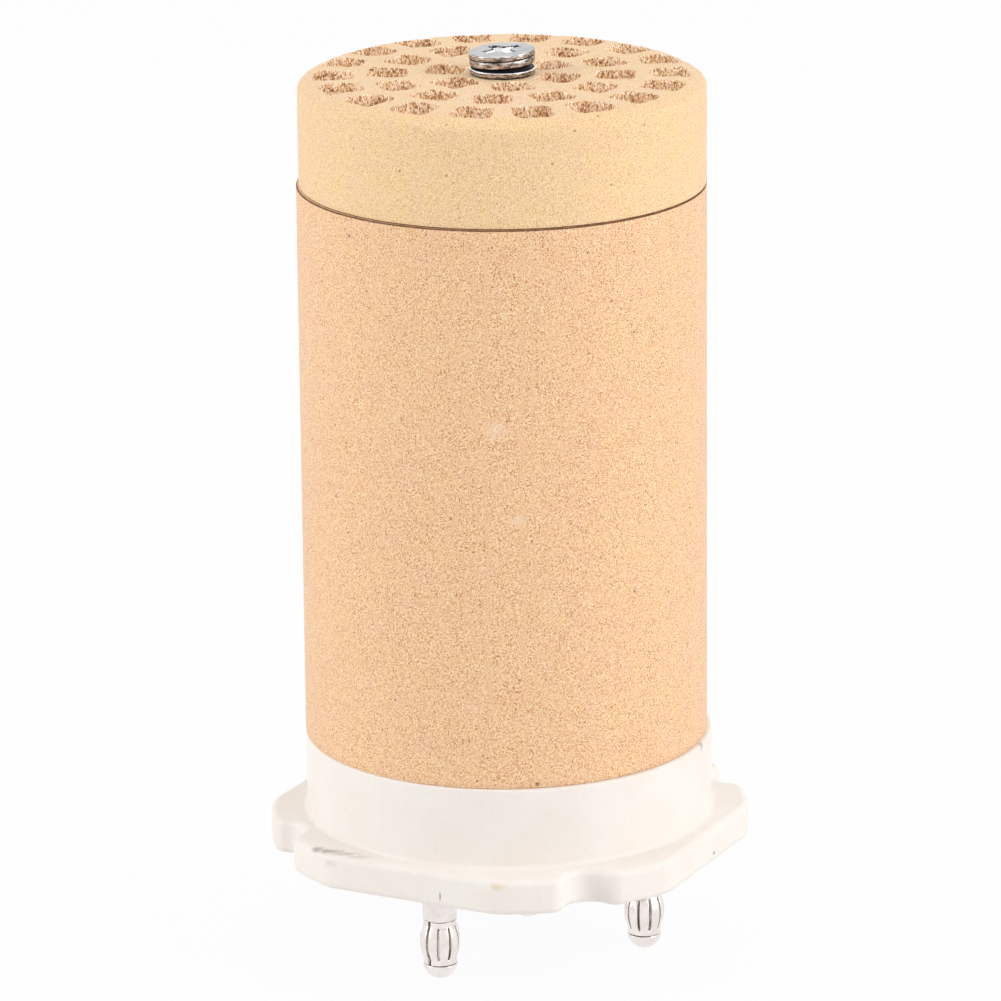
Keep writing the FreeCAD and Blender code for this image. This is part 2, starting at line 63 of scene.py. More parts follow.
SPRING_WASHER_THICKNESS = 0.8
SPLIT_ANGLE = -74.0
SPLIT_SLANT = 35.0
FLAT_WASHER_THICKNESS = 1.0
WASHER_GAP = 0.2
NUT_ACROSS_FLATS = 7.0
NUT_HEIGHT = 3.2
NUT_WASHER_THICKNESS = 0.8
NUT_RECESS_DEPTH = 4.0
SCREW_END = 0.6
PIN_PLACES = ((12.71, -130.8, 1), (15.79, -0.9, 1), (11.03, 78.9, 2))    # radius, angle, wire eyes
PIN_DROP = 13.85
PIN_R = 2.0
PIN_NOSE_R = 1.1
PIN_NOSE_HEIGHT = 1.2
PIN_TIP_HEIGHT = 1.6
PIN_NECK_R = 1.6
PIN_COLLAR_R = 3.3
PIN_COLLAR_HEIGHT = 1.6
STUD_R = 1.5
STUD_CLEARANCE = 0.15
STUD_END = 0.8
PIN_WASHER_THICKNESS = 0.5
PIN_NUT_ACROSS_FLATS = 5.5
PIN_NUT_HEIGHT = 2.4
SLEEVE_LENGTH = 5.5
SLEEVE_WALL = 0.3
SLEEVE_RING_R = 1.95
SLEEVE_BULGE_R = 2.38
SLEEVE_RIM = 0.75
SLOT_COUNT = 10
SLOT_WIDTH = 0.3
SEAM_WIDTH = 0.4
LEAD_R = 0.5
EYE_R = 3.0

# Levels and radii that follow
FLANGE_BOTTOM = PIN_DROP
FLOOR_BOTTOM = FLANGE_BOTTOM + FLOOR_RECESS
FLANGE_TOP = FLANGE_BOTTOM + FLANGE_THICKNESS
CORE_BOTTOM = FLANGE_TOP + RING_HEIGHT
CORE_TOP = CORE_BOTTOM + CORE_LENGTH
CAP_TOP = CORE_TOP + CAP_LENGTH
TIE_HOLE_R = SCREW_R + SCREW_CLEARANCE
NUT_SEAT = FLOOR_BOTTOM + NUT_RECESS_DEPTH
EYE_BOTTOM = FLANGE_TOP + PIN_WASHER_THICKNESS
STUD_TOP = EYE_BOTTOM + 4 * LEAD_R + PIN_NUT_HEIGHT + STUD_END
CHANNEL_DEPTH = (CORE_R - CORE_WALL - CENTRE_POST_R - POST_MARGIN - 2 * CHANNEL_WEB) / 3
CIRCLE_RS = [CORE_R - CORE_WALL - CHANNEL_DEPTH / 2 - k * (CHANNEL_DEPTH + CHANNEL_WEB) for k in range(3)]
CORE_AXIS, CAP_AXIS, TIE_AXIS = (CORE_X, 0.0), (CAP_X, 0.0), (TIE_X, 0.0)

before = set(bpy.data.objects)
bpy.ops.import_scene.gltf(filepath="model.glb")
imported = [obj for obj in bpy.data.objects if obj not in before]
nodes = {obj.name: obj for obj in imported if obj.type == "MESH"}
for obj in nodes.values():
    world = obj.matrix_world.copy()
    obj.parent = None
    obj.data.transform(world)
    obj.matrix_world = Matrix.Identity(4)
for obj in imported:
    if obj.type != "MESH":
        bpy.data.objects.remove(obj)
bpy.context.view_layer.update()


# Mesh building

ROW_SPACING = 0.866    # of a grid of equal triangles, as a share of its side
FILL_JITTER = 0.22
FILL_SEED = 1
RIM_MARGIN = 0.5    # clear of points next to a rim and to holes, as shares of their spacing
HOLE_MARGIN = 0.45


class Shell:
    """Vertices in millimetres and faces, gathered loop by loop."""

    def __init__(self):
        self.blocks = []
        self.count = 0
        self.faces = []
        self.marks = []

    def add(self, points):
        points = np.asarray(points, float).reshape(-1, 3)
        self.blocks.append(points)
        self.count += len(points)
        return np.arange(self.count - len(points), self.count)

    def points(self):
        return np.concatenate(self.blocks)

    def face(self, corners, mark=0):
        self.faces.extend(corners)
        self.marks.extend([mark] * len(corners))

    def band(self, low, high, mark=0):
        """Quads between two closed loops with as many points each."""
        quads = np.stack([low, np.roll(low, -1), np.roll(high, -1), high], 1)
        self.face(quads.tolist(), mark)

    def mark_bands(self, bands, count, mark):
        """Gives a material to some of the shell's first bands, which have so many quads each."""
        for band in bands:
            self.marks[band * count:(band + 1) * count] = [mark] * count

    def sheet(self, rows, flip=False):
        """Quads of an open grid of vertex indices."""
        rows = np.asarray(rows)
        quads = np.stack([rows[:-1, :-1], rows[:-1, 1:], rows[1:, 1:], rows[1:, :-1]], 2).reshape(-1, 4)
        if flip:
            quads = quads[:, ::-1]
        self.face(quads.tolist())

    def fan(self, loop, centre, mark=0):
        """Triangles from a closed loop to one point."""
        middle = self.add([centre])[0]
        following = np.roll(loop, -1)
        self.face([[int(a), int(b), int(middle)] for a, b in zip(loop, following)], mark)

    def fill(self, rim, holes, spacing, flip=False):
        """Triangulates a flat face between a rim loop and hole loops, with points inside it."""
        known = self.points()
        z = known[rim[0]][2]
        loops = [rim] + list(holes)
        border = np.concatenate(loops)
        flat = known[border][:, :2]
        centre = known[rim][:, :2].mean(0)
        reach = np.linalg.norm(known[rim][:, :2] - centre, axis=1).min()
        rng = np.random.default_rng(FILL_SEED)
        steps = int(reach / spacing) + 2
        grid = np.array([((i + 0.5 * (j % 2)) * spacing, j * spacing * ROW_SPACING)
                         for i in range(-steps, steps + 1) for j in range(-steps - 3, steps + 4)])
        grid = grid + rng.uniform(-FILL_JITTER, FILL_JITTER, grid.shape) * spacing + centre
        grid = grid[np.linalg.norm(grid - centre, axis=1) < reach - RIM_MARGIN * spacing]
        for hole in holes:
            ring = known[hole][:, :2]
            ahead = np.roll(ring, -1, 0) - ring
            out = np.stack([ahead[:, 1], -ahead[:, 0]], 1)
            out /= np.linalg.norm(out, axis=1)[:, None]
            if np.cross(ahead[0], np.roll(ahead, -1, 0)[0]) < 0:
                out = -out
            depth = ((grid[:, None, :] - ring[None]) * out[None]).sum(2).max(1)
            grid = grid[depth > HOLE_MARGIN * spacing]
        inside = self.add(np.column_stack([grid, np.full(len(grid), z)]))
        index = np.concatenate([border, inside])
        coords = [Vector(p) for p in np.concatenate([flat, grid]).tolist()]
        edges, owner, start = [], [], 0
        for k, loop in enumerate(loops):
            edges += [(start + i, start + (i + 1) % len(loop)) for i in range(len(loop))]
            owner += [k] * len(loop)
            start += len(loop)
        owner += [-1] * len(grid)
        _, _, triangles, origin, _, _ = delaunay_2d_cdt(coords, edges, [], 0, 1e-7)
        for tri in triangles:
            ids = [origin[i][0] for i in tri]
            owners = {owner[i] for i in ids}
            if len(owners) == 1 and owners.pop() > 0:
                continue
            a, b, c = (coords[i] for i in ids)
            turn = (b - a).cross(c - a)
            if abs(turn) < 1e-9:
                continue
            if (turn < 0) != flip:
                ids.reverse()
            self.face([[int(index[i]) for i in ids]])

    def make(self, name, materials, merge=None, smooth=True):
        """The shell as an object. With merge, vertices closer than that become one."""
        mesh = bpy.data.meshes.new(name)
        mesh.from_pydata((self.points() * MM).tolist(), [], self.faces)
        for material in materials:
            mesh.materials.append(material)
        mesh.polygons.foreach_set("material_index", self.marks)
        mesh.polygons.foreach_set("use_smooth", [smooth] * len(mesh.polygons))
        piece = bpy.data.objects.new(name, mesh)
        bpy.context.scene.collection.objects.link(piece)
        if merge:
            bm = bmesh.new()
            bm.from_mesh(mesh)
            bmesh.ops.remove_doubles(bm, verts=bm.verts, dist=merge * MM)
            bmesh.ops.recalc_face_normals(bm, faces=bm.faces)
            bm.to_mesh(mesh)
            bm.free()
        mesh.validate()
        mesh.update()
        return piece


def polar(radius, angle):
    """The place at a radius and an angle in degrees."""
    return radius * math.cos(math.radians(angle)), radius * math.sin(math.radians(angle))


def circle(radius, z, count, centre):
    turn = np.arange(count) * 2 * math.pi / count
    heights = np.broadcast_to(np.asarray(z, float), (count,))
    return np.column_stack([centre[0] + radius * np.cos(turn), centre[1] + radius * np.sin(turn), heights])


def spin(shell, stations, count, centre, closed=True):
    """Bands between stations of (radius, height), each a number or one value for every angle."""
    loops = [shell.add(circle(r, z, count, centre)) for r, z in stations]
    for low, high in zip(loops, loops[1:]):
        shell.band(low, high)
    if closed:
        shell.band(loops[-1], loops[0])
    return loops


def arc(centre_r, centre_z, radius, start, end, steps):
    """Stations on a quarter or half round; angles in degrees from +r towards +z."""
    turn = np.radians(np.linspace(start, end, steps))
    return [(centre_r + radius * math.cos(t), centre_z + radius * math.sin(t)) for t in turn]


def shift_along_normals(piece, amount):
    """Moves each vertex along its normal by amount(x, y, z, normal), all in millimetres."""
    mesh = piece.data
    mesh.update()
    normals = [v.normal.copy() for v in mesh.vertices]
    for vertex, normal in zip(mesh.vertices, normals):
        x, y, z = vertex.co / MM
        vertex.co += normal * amount(x, y, z, normal) * MM
    mesh.update()


def grain(x, y, z, size, seed):
    """Noise between -1 and 1 with bumps of this size, different for each seed."""
    return noise.noise(Vector((x / size + seed, y / size - seed, z / size)))


def dress(piece, node):
    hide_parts(node)
    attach(piece, "root")


# Materials

class Look:
    """A node material, built with short calls."""

    def __init__(self, name):
        self.material = bpy.data.materials.new(name)
        self.material.use_nodes = True
        self.tree = self.material.node_tree
        self.tree.nodes.clear()
        self.output = self.tree.nodes.new("ShaderNodeOutputMaterial")
        self.place = self.node("ShaderNodeTexCoord").outputs["Object"]

    def node(self, kind, inputs=None, **settings):
        made = self.tree.nodes.new(kind)
        for key, value in settings.items():
            setattr(made, key, value)
        for key, value in (inputs or {}).items():
            socket = made.inputs[key]
            if isinstance(value, bpy.types.NodeSocket):
                self.tree.links.new(value, socket)
            else:
                socket.default_value = value
        return made

    def noise(self, size, detail=2.0, rough=0.5, place=None):
        """Noise with features of about this size in millimetres."""
        return self.node("ShaderNodeTexNoise", {
            "Vector": place or self.place, "Scale": 1 / (size * MM), "Detail": detail, "Roughness": rough,
        }).outputs["Fac"]

    def cells(self, size, place=None):
        made = self.node("ShaderNodeTexVoronoi", {"Vector": place or self.place, "Scale": 1 / (size * MM)})
        return made.outputs["Distance"], made.outputs["Color"]

    def vector(self, operation, *values):
        return self.node("ShaderNodeVectorMath", dict(enumerate(values)), operation=operation).outputs

    def stretched(self, x, y, z):
        return self.vector("MULTIPLY", self.place, (x, y, z))[0]

    def ramp(self, factor, stops):
        made = self.node("ShaderNodeValToRGB", {"Fac": factor})
        elements = made.color_ramp.elements
        while len(elements) < len(stops):
            elements.new(0.5)
        for element, (position, colour) in zip(elements, stops):
            element.position = position
            element.color = (*colour, 1.0)
        return made.outputs["Color"]

    def mix(self, factor, a, b, blend="MIX"):
        made = self.node("ShaderNodeMix", data_type="RGBA", blend_type=blend)
        for index, value in ((0, factor), (6, a), (7, b)):
            if isinstance(value, bpy.types.NodeSocket):
                self.tree.links.new(value, made.inputs[index])
            elif index == 0:
                made.inputs[0].default_value = value
            else:
                made.inputs[index].default_value = (*value, 1.0)
        return made.outputs[2]

    def maths(self, operation, *values):
        return self.node("ShaderNodeMath", dict(enumerate(values)), operation=operation).outputs[0]

    def marked(self, colour, mask, strength, mark):
        """The colour, with the mark's colour over it where the mask is 1."""
        return self.mix(self.maths("MULTIPLY", mask, strength), colour, mark)

    def remap(self, value, low, high, to_low=0.0, to_high=1.0):
        return self.node("ShaderNodeMapRange", {
            "Value": value, "From Min": low, "From Max": high, "To Min": to_low, "To Max": to_high,
        }).outputs[0]

    def bump(self, height, distance, strength):
        inputs = {"Height": height, "Distance": distance * MM, "Strength": strength}
        return self.node("ShaderNodeBump", inputs).outputs[0]

    def surface(self, **inputs):
        names = {key.replace("_", " "): value for key, value in inputs.items()}
        shader = self.node("ShaderNodeBsdfPrincipled", names)
        self.tree.links.new(shader.outputs[0], self.output.inputs["Surface"])
        return self.material


def tone(red, green, blue):
    """A colour written as sRGB bytes, in linear light."""
    parts = [c / 255 for c in (red, green, blue)]
    return tuple(c / 12.92 if c <= 0.04045 else ((c + 0.055) / 1.055) ** 2.4 for c in parts)


def speck_mask(look, size, share, radius):
    """One small round mark in some of the cells: 1 inside a mark."""
    distance, colour = look.cells(size)
    chosen = look.maths("LESS_THAN", look.node("ShaderNodeSeparateColor", {0: colour}).outputs[0], share)
    near = look.remap(distance, radius / size, radius / size * 0.5)
    return look.maths("MULTIPLY", chosen, near)


def spot(look, at, size):
    """A soft patch round a place in millimetres, broken up by noise: 1 in its middle."""
    away = look.vector("SUBTRACT", look.place, tuple(c * MM for c in at))[0]
    scaled = look.vector("MULTIPLY", away, tuple(1 / (s * MM) for s in size))[0]
    reach = look.vector("LENGTH", scaled)["Value"]
    uneven = look.maths("MULTIPLY", look.noise(0.9, 3.0, 0.65), 1.1)
    return look.remap(look.maths("ADD", reach, uneven), 1.5, 0.75)


# Grains of the porous ceramic: steps of the noise with how dark each is, below 0 for pale, and how much
# that counts in red, green and blue
GRAIN_STEPS = ((0.28, 0.75), (0.42, 0.25), (0.5, 0.0), (0.64, -0.32))
DARK_GRAIN = (0.9, 1.5, 2.2)
PALE_GRAIN = (0.2, 1.5, 2.2)
DARKEST_GRAIN = 0.05


def porous_ceramic(name, warm, cool, speck, grain_depth, spots=()):
    """Fine-grained matt ceramic: mottled, with pale and dark grains and a few specks."""
    look = Look(name)
    mottle = look.noise(2.6, 3.0, 0.55)
    colour = look.mix(look.remap(mottle, 0.36, 0.64), warm, cool)
    fine = look.noise(0.13, 1.0, 0.6)
    patchy = look.remap(look.noise(1.4, 2.0, 0.5), 0.3, 0.7, 0.55, 1.0)
    stops = []
    for position, depth in GRAIN_STEPS:
        weights = DARK_GRAIN if depth > 0 else PALE_GRAIN
        stops.append((position, tuple(max(DARKEST_GRAIN, 1 - grain_depth * depth * w) for w in weights)))
    colour = look.mix(patchy, colour, look.mix(1.0, colour, look.ramp(fine, stops), "MULTIPLY"))
    colour = look.marked(colour, speck_mask(look, 1.3, 0.13, 0.18), 0.85, speck)
    colour = look.marked(colour, speck_mask(look, 0.62, 0.14, 0.085), 0.6, speck)
    for at, size, stain, strength in spots:
        colour = look.marked(colour, spot(look, at, size), strength, stain)
    broad = look.noise(0.45, 2.0, 0.6)
    height = look.maths("ADD", fine, look.maths("MULTIPLY", broad, 0.8))
    return look.surface(
        Base_Color=colour, Roughness=look.remap(fine, 0.2, 0.8, 0.86, 0.7),
        Normal=look.bump(height, 0.03, 0.6), Specular_IOR_Level=0.45,
        Sheen_Weight=0.3, Sheen_Roughness=0.4, Sheen_Tint=(1.0, 0.96, 0.93, 1.0))


def coarse_wall(name):
    """Torn ceramic inside the holes: pale and brown grains, with a faint painted glow that lightens the
    holes' shade.
    """
    look = Look(name)
    upright = look.stretched(1.0, 1.0, 0.55)
    distance, colour = look.cells(0.17, upright)
    lump = look.noise(0.15, 2.0, 0.6, upright)
    patch = look.noise(1.8, 1.0, 0.5)
    picked = look.node("ShaderNodeSeparateColor", {0: colour}).outputs[1]
    value = look.maths("ADD", look.maths("MULTIPLY", lump, 0.62), look.maths("MULTIPLY", picked, 0.26))
    value = look.maths("ADD", value, look.maths("MULTIPLY", patch, 0.24))
    shade = look.ramp(value, ((0.38, tone(118, 80, 54)), (0.48, tone(190, 147, 106)),
                              (0.58, tone(231, 194, 149)), (0.68, tone(250, 234, 214))))
    height = look.maths("SUBTRACT", lump, look.maths("MULTIPLY", distance, 0.8))
    # The emission is painted light: the walls glow in their own colour.
    return look.surface(Base_Color=shade, Roughness=0.75, Normal=look.bump(height, 0.1, 0.8),
                        Emission_Color=shade, Emission_Strength=0.26)


def painted_shade(name, colour, roughness):
    """Painted shade for a seam or gap between two pieces: the colour, clouded darker and paler."""
    look = Look(name)
    cloud = look.noise(0.8, 3.0, 0.6)
    shade = look.ramp(cloud, ((0.3, tuple(0.7 * c for c in colour)), (0.7, tuple(1.5 * c for c in colour))))
    return look.surface(Base_Color=shade, Roughness=roughness)


def smooth_ceramic(name):
    """White steatite of the terminal base."""
    look = Look(name)
    cloud = look.noise(7.0, 3.0, 0.5)
    colour = look.mix(look.remap(cloud, 0.35, 0.65), tone(248, 242, 236), tone(246, 238, 230))
    fine = look.noise(0.35, 2.0, 0.6)
    colour = look.mix(1.0, colour, look.ramp(fine, ((0.3, (0.965,) * 3), (0.7, (1.0,) * 3))), "MULTIPLY")
    colour = look.marked(colour, speck_mask(look, 3.2, 0.08, 0.12), 0.4, tone(176, 160, 146))
    for at, size, stain, strength in MARKS_ON_BASE:
        colour = look.marked(colour, spot(look, at, size), strength, stain)
    waves = look.noise(2.4, 2.0, 0.5)
    height = look.maths("ADD", waves, look.maths("MULTIPLY", fine, 0.25))
    return look.surface(
        Base_Color=colour, Roughness=look.remap(cloud, 0.3, 0.7, 0.42, 0.52),
        Normal=look.bump(height, 0.03, 0.35), Specular_IOR_Level=0.4)


def metal(name, pale, dull, roughness, grain_size=0.25, depth=0.012):
    """Plain metal, with clouds of a duller tone and a fine uneven gloss."""
    look = Look(name)
    cloud = look.noise(grain_size * 5, 3.0, 0.6)
    fine = look.noise(grain_size, 3.0, 0.6)
    colour = look.mix(look.remap(cloud, 0.35, 0.65), pale, dull)
    gloss = look.remap(fine, 0.3, 0.7, roughness * 0.8, roughness * 1.3)
    return look.surface(Base_Color=colour, Metallic=1.0, Roughness=gloss, Normal=look.bump(fine, depth, 0.4))


def brushed_metal(name):
    """Turned sides: fine level lines of pale and brown steel."""
    look = Look(name)
    lines = look.noise(0.1, 2.0, 0.75, look.stretched(0.1, 0.1, 1.0))
    cloud = look.noise(0.7, 3.0, 0.6)
    value = look.maths("ADD", look.maths("MULTIPLY", lines, 0.65), look.maths("MULTIPLY", cloud, 0.35))
    colour = look.ramp(value, (
        (0.4, (0.06, 0.05, 0.045)), (0.49, (0.33, 0.28, 0.26)), (0.59, (0.76, 0.72, 0.7))))
    return look.surface(
        Base_Color=colour, Metallic=1.0, Roughness=look.remap(lines, 0.3, 0.7, 0.26, 0.48),
        Normal=look.bump(lines, 0.012, 0.5))


# Stains and scuffs, as the place in millimetres, the reach along each axis, the tone and how strong it is
SCUFF = tone(122, 116, 112)
MARKS_ON_BASE = (
    ((-22.4, -16.1, 17.95), (1.6, 0.8, 0.4), SCUFF, 0.6),
    ((-20.9, -17.0, 18.05), (2.2, 0.8, 0.35), SCUFF, 0.6),
    ((-19.1, -18.0, 18.05), (2.2, 0.8, 0.35), SCUFF, 0.4),
    ((-17.3, -19.1, 18.05), (1.8, 0.8, 0.35), SCUFF, 0.25),
    ((-20.8, -18.5, 17.1), (1.6, 0.9, 0.7), SCUFF, 0.15),
    ((-8.12, -24.9, 15.2), (0.13, 0.5, 0.9), SCUFF, 0.9),
    ((-1.6, -27.9, 17.4), (1.1, 0.8, 0.6), tone(224, 200, 146), 0.5),
    ((22.2, -8.0, 27.4), (0.5, 0.7, 1.1), tone(150, 146, 144), 0.6),
    ((23.66, -10.6, 15.04), (0.35, 0.35, 0.3), SCUFF, 0.7),
)
MARKS_ON_CORE = (
    ((-1.3, -23.5, 70.1), (1.7, 1.8, 1.4), tone(254, 221, 194), 0.55),
    ((1.05, -23.4, 59.4), (1.4, 1.5, 1.1), tone(254, 221, 194), 0.55),
    ((-17.46, -16.03, 90.75), (0.35, 0.35, 0.3), tone(104, 66, 42), 0.9),
    ((3.06, -23.24, 28.1), (0.35, 0.35, 0.3), tone(104, 66, 42), 0.9),
)

core_look = porous_ceramic("core_ceramic", tone(248, 202, 155), tone(247, 200, 159), tone(150, 96, 62),
                           0.85, MARKS_ON_CORE)
cap_look = porous_ceramic("cap_ceramic", tone(248, 210, 160), tone(247, 208, 166), tone(160, 112, 72), 0.5)
wall_look = coarse_wall("hole_wall")
# Painted shade: a brown tone on the seam's chamfers, standing for the shadow in the groove between cap and
# core.
seam_shade_look = painted_shade("seam", tone(122, 84, 56), 0.9)
# Painted shade: near black, for the gaps under and between the screw's head and the washers.
gap_shade_look = painted_shade("gap", (0.012, 0.01, 0.01), 0.6)
white_look = smooth_ceramic("white_ceramic")
head_look = metal("head_steel", (0.6, 0.6, 0.61), (0.45, 0.455, 0.47), 0.32, 0.2, 0.014)
# Painted highlight: a pale copy of the head's steel for the lit walls of the cross recess.
recess_highlight_look = metal("recess_painted_highlight", (0.97, 0.96, 0.95), (0.7, 0.7, 0.7), 0.5, 0.2, 0.014)
brushed_look = brushed_metal("brushed_steel")
steel_look = metal("steel", (0.64, 0.64, 0.66), (0.5, 0.49, 0.49), 0.24)
# Painted highlight: near-white steel for the rounding of the flat washer's top rim.
rim_highlight_look = metal("rim_painted_highlight", (0.93, 0.92, 0.91), (0.85, 0.83, 0.82), 0.3)
# Brass of the pin's neck, paled past its own tone as painted light that lifts the shade inside the sleeve's
# slots.
neck_painted_light_look = metal("neck_brass_painted_light", (1.0, 0.95, 0.87), (0.97, 0.9, 0.8), 0.3)
plated_look = metal("plated_brass", (0.92, 0.87, 0.85), (0.84, 0.77, 0.74), 0.2)
brass_look = metal("brass", (0.74, 0.6, 0.34), (0.6, 0.46, 0.24), 0.3)
wire_look = metal("coil_wire", (0.34, 0.31, 0.29), (0.2, 0.17, 0.15), 0.45)


# Honeycomb core and end cap

CORNER_STEPS = 6
SIDE_STEPS = 4
CORE_SEGMENTS = 288
CAP_SEGMENTS = 384
POST_SEGMENTS = 48
HOLE_LIP = 0.2    # rounding of the channels' mouths
CAP_SOFT = 0.4    # the cap's shoulder blends into its side over this width
SINK_DEPTH = 3.4    # the holes' walls follow the shoulder down to this depth,
SINK_RANGE = 2.8    # less and less over this range
HOLLOW_MARGIN = 0.15    # between the cap's hollow and the channels' outer walls
SHOULDER_R = (CAP_SHOULDER ** 2 + CAP_SHOULDER_DROP ** 2) / (2 * CAP_SHOULDER_DROP)


def channel_border(radius, angle, grow):
    """Points round one channel, counter-clockwise, grown outwards by a margin."""
    inner, outer = radius - CHANNEL_DEPTH / 2, radius + CHANNEL_DEPTH / 2
    half_in, half_out = CHANNEL_WIDTH_IN / 2, CHANNEL_WIDTH_OUT / 2
    corners = np.array([(inner, -half_in), (outer, -half_out), (outer, half_out), (inner, half_in)])
    ahead = np.roll(corners, -1, 0) - corners
    ahead /= np.linalg.norm(ahead, axis=1)[:, None]
    out = np.stack([ahead[:, 1], -ahead[:, 0]], 1)
    arcs = []
    for k in range(4):
        before, after = out[k - 1], out[k]
        middle = corners[k] - (before + after) / (1 + before @ after) * CHANNEL_CORNER_R
        start = math.atan2(before[1], before[0])
        sweep = (math.atan2(after[1], after[0]) - start) % (2 * math.pi)
        turn = start + sweep * np.linspace(0, 1, CORNER_STEPS + 1)
        normal = np.stack([np.cos(turn), np.sin(turn)], 1)
        arcs.append((middle + CHANNEL_CORNER_R * normal, normal))
    points, normals = [], []
    for k in range(4):
        (here, normal), (there, _) = arcs[k], arcs[(k + 1) % 4]
        share = np.linspace(0, 1, SIDE_STEPS + 1)[1:-1, None]
        points += [here, here[-1] * (1 - share) + there[0] * share]
        normals += [normal, np.repeat(normal[-1:], SIDE_STEPS - 1, 0)]
    flat = np.concatenate(points) + grow * np.concatenate(normals)
    c, s = polar(1, angle)
    return flat @ np.array([(c, s), (-s, c)])


def channel_loops(shell, steps, axis):
    """For each channel, its loops at (margin, height) steps."""
    found = []
    for radius, (count, start) in zip(CIRCLE_RS, CIRCLES):
        for k in range(count):
            loops = []
            for grow, z in steps:
                flat = channel_border(radius, start + 360 * k / count, grow) + axis
                loops.append(shell.add(np.column_stack([flat, np.full(len(flat), z)])))
            found.append(loops)
    return found


def shoulder_drop(radius, cap_r):
    """How far the cap's face lies below its middle, this far from the axis."""
    over = np.clip(radius - (cap_r - CAP_SHOULDER), 0, CAP_SHOULDER)
    return SHOULDER_R - np.sqrt(SHOULDER_R ** 2 - over ** 2)


def end_cap():
    shell = Shell()
    radius = CORE_R - CAP_INSET
    hollow_top = CAP_TOP - CAP_PLATE
    hollow_r = CORE_R - CORE_WALL + HOLLOW_MARGIN
    face_r = radius - CAP_SOFT
    low, high = CAP_TOP - CAP_SHOULDER_DROP - 0.5, CAP_TOP - shoulder_drop(face_r, radius)
    side = [(radius, z) for z in np.linspace(CORE_TOP + CORE_EDGE, low, 30)]
    edge = [(radius - CAP_SOFT * t ** 2, low + (high - low) * t * (1.35 - 0.35 * t))
            for t in (0.2, 0.4, 0.6, 0.8)]
    outline = [(hollow_r, hollow_top), (hollow_r, CORE_TOP), (radius - CORE_EDGE, CORE_TOP)] + side + edge
    loops = spin(shell, outline + [(face_r, CAP_TOP)], CAP_SEGMENTS, CAP_AXIS, closed=False)
    # The cap's lower chamfer takes the seam's painted shade.
    shell.mark_bands([2], CAP_SEGMENTS, 2)
    ceiling_rim, top_rim = loops[0], loops[-1]
    hole_high = shell.add(circle(TIE_HOLE_R, CAP_TOP, POST_SEGMENTS, CAP_AXIS))
    hole_low = shell.add(circle(TIE_HOLE_R, CORE_TOP, POST_SEGMENTS, CAP_AXIS))
    post_low = shell.add(circle(CENTRE_POST_R, CORE_TOP, POST_SEGMENTS, CAP_AXIS))
    post_high = shell.add(circle(CENTRE_POST_R, hollow_top, POST_SEGMENTS, CAP_AXIS))
    shell.band(hole_high, hole_low)
    shell.band(hole_low, post_low)
    shell.band(post_low, post_high)
    lip = [(HOLE_LIP - x, z) for x, z in arc(0, CAP_TOP - HOLE_LIP, HOLE_LIP, 90, 0, 5)]
    deep = [(0.0, z) for z in np.linspace(CAP_TOP - HOLE_LIP, CAP_TOP - SINK_DEPTH, 15)[1:]]
    rest = [(0.0, z) for z in np.linspace(CAP_TOP - SINK_DEPTH, hollow_top, 4)[1:]]
    holes = channel_loops(shell, lip + deep + rest, CAP_AXIS)
    for hole in holes:
        # Below its lip, each hole's wall takes the hole-wall material with its painted glow.
        for k, (above, below) in enumerate(zip(hole, hole[1:])):
            shell.band(above, below, 0 if k < 1 else 1)
    shell.fill(top_rim, [hole[0] for hole in holes] + [hole_high], 0.4)
    shell.fill(ceiling_rim, [hole[-1] for hole in holes] + [post_high], 1.6, flip=True)
    for block in shell.blocks:
        out = np.hypot(block[:, 0] - CAP_X, block[:, 1])
        share = np.clip((block[:, 2] - CAP_TOP + SINK_DEPTH) / SINK_RANGE, 0, 1) * (out < face_r + 0.001)
        block[:, 2] -= shoulder_drop(out, radius) * share
    piece = shell.make("cap_body", [cap_look, wall_look, seam_shade_look])

    def roughen(x, y, z, normal):
        out = math.hypot(x - CAP_X, y)
        if z < hollow_top + 0.5 and out < radius - 1.0:
            return 0.0
        if z < CORE_TOP + 0.3:
            return 0.02 * grain(x, y, z, 0.9, 3)
        if out > face_r - 0.1:
            return 0.035 * grain(x, y, z, 2.2, 5) + 0.02 * grain(x, y, z, 0.7, 8) - 0.02
        in_hole = abs(normal.z) < 0.6
        coarse = 0.13 if in_hole else 0.05
        return coarse * grain(x, y, z, 0.34, 11) + 0.1 * grain(x, y, z, 1.7, 17) - 0.05

    shift_along_normals(piece, roughen)
    dress(piece, "end_cap")


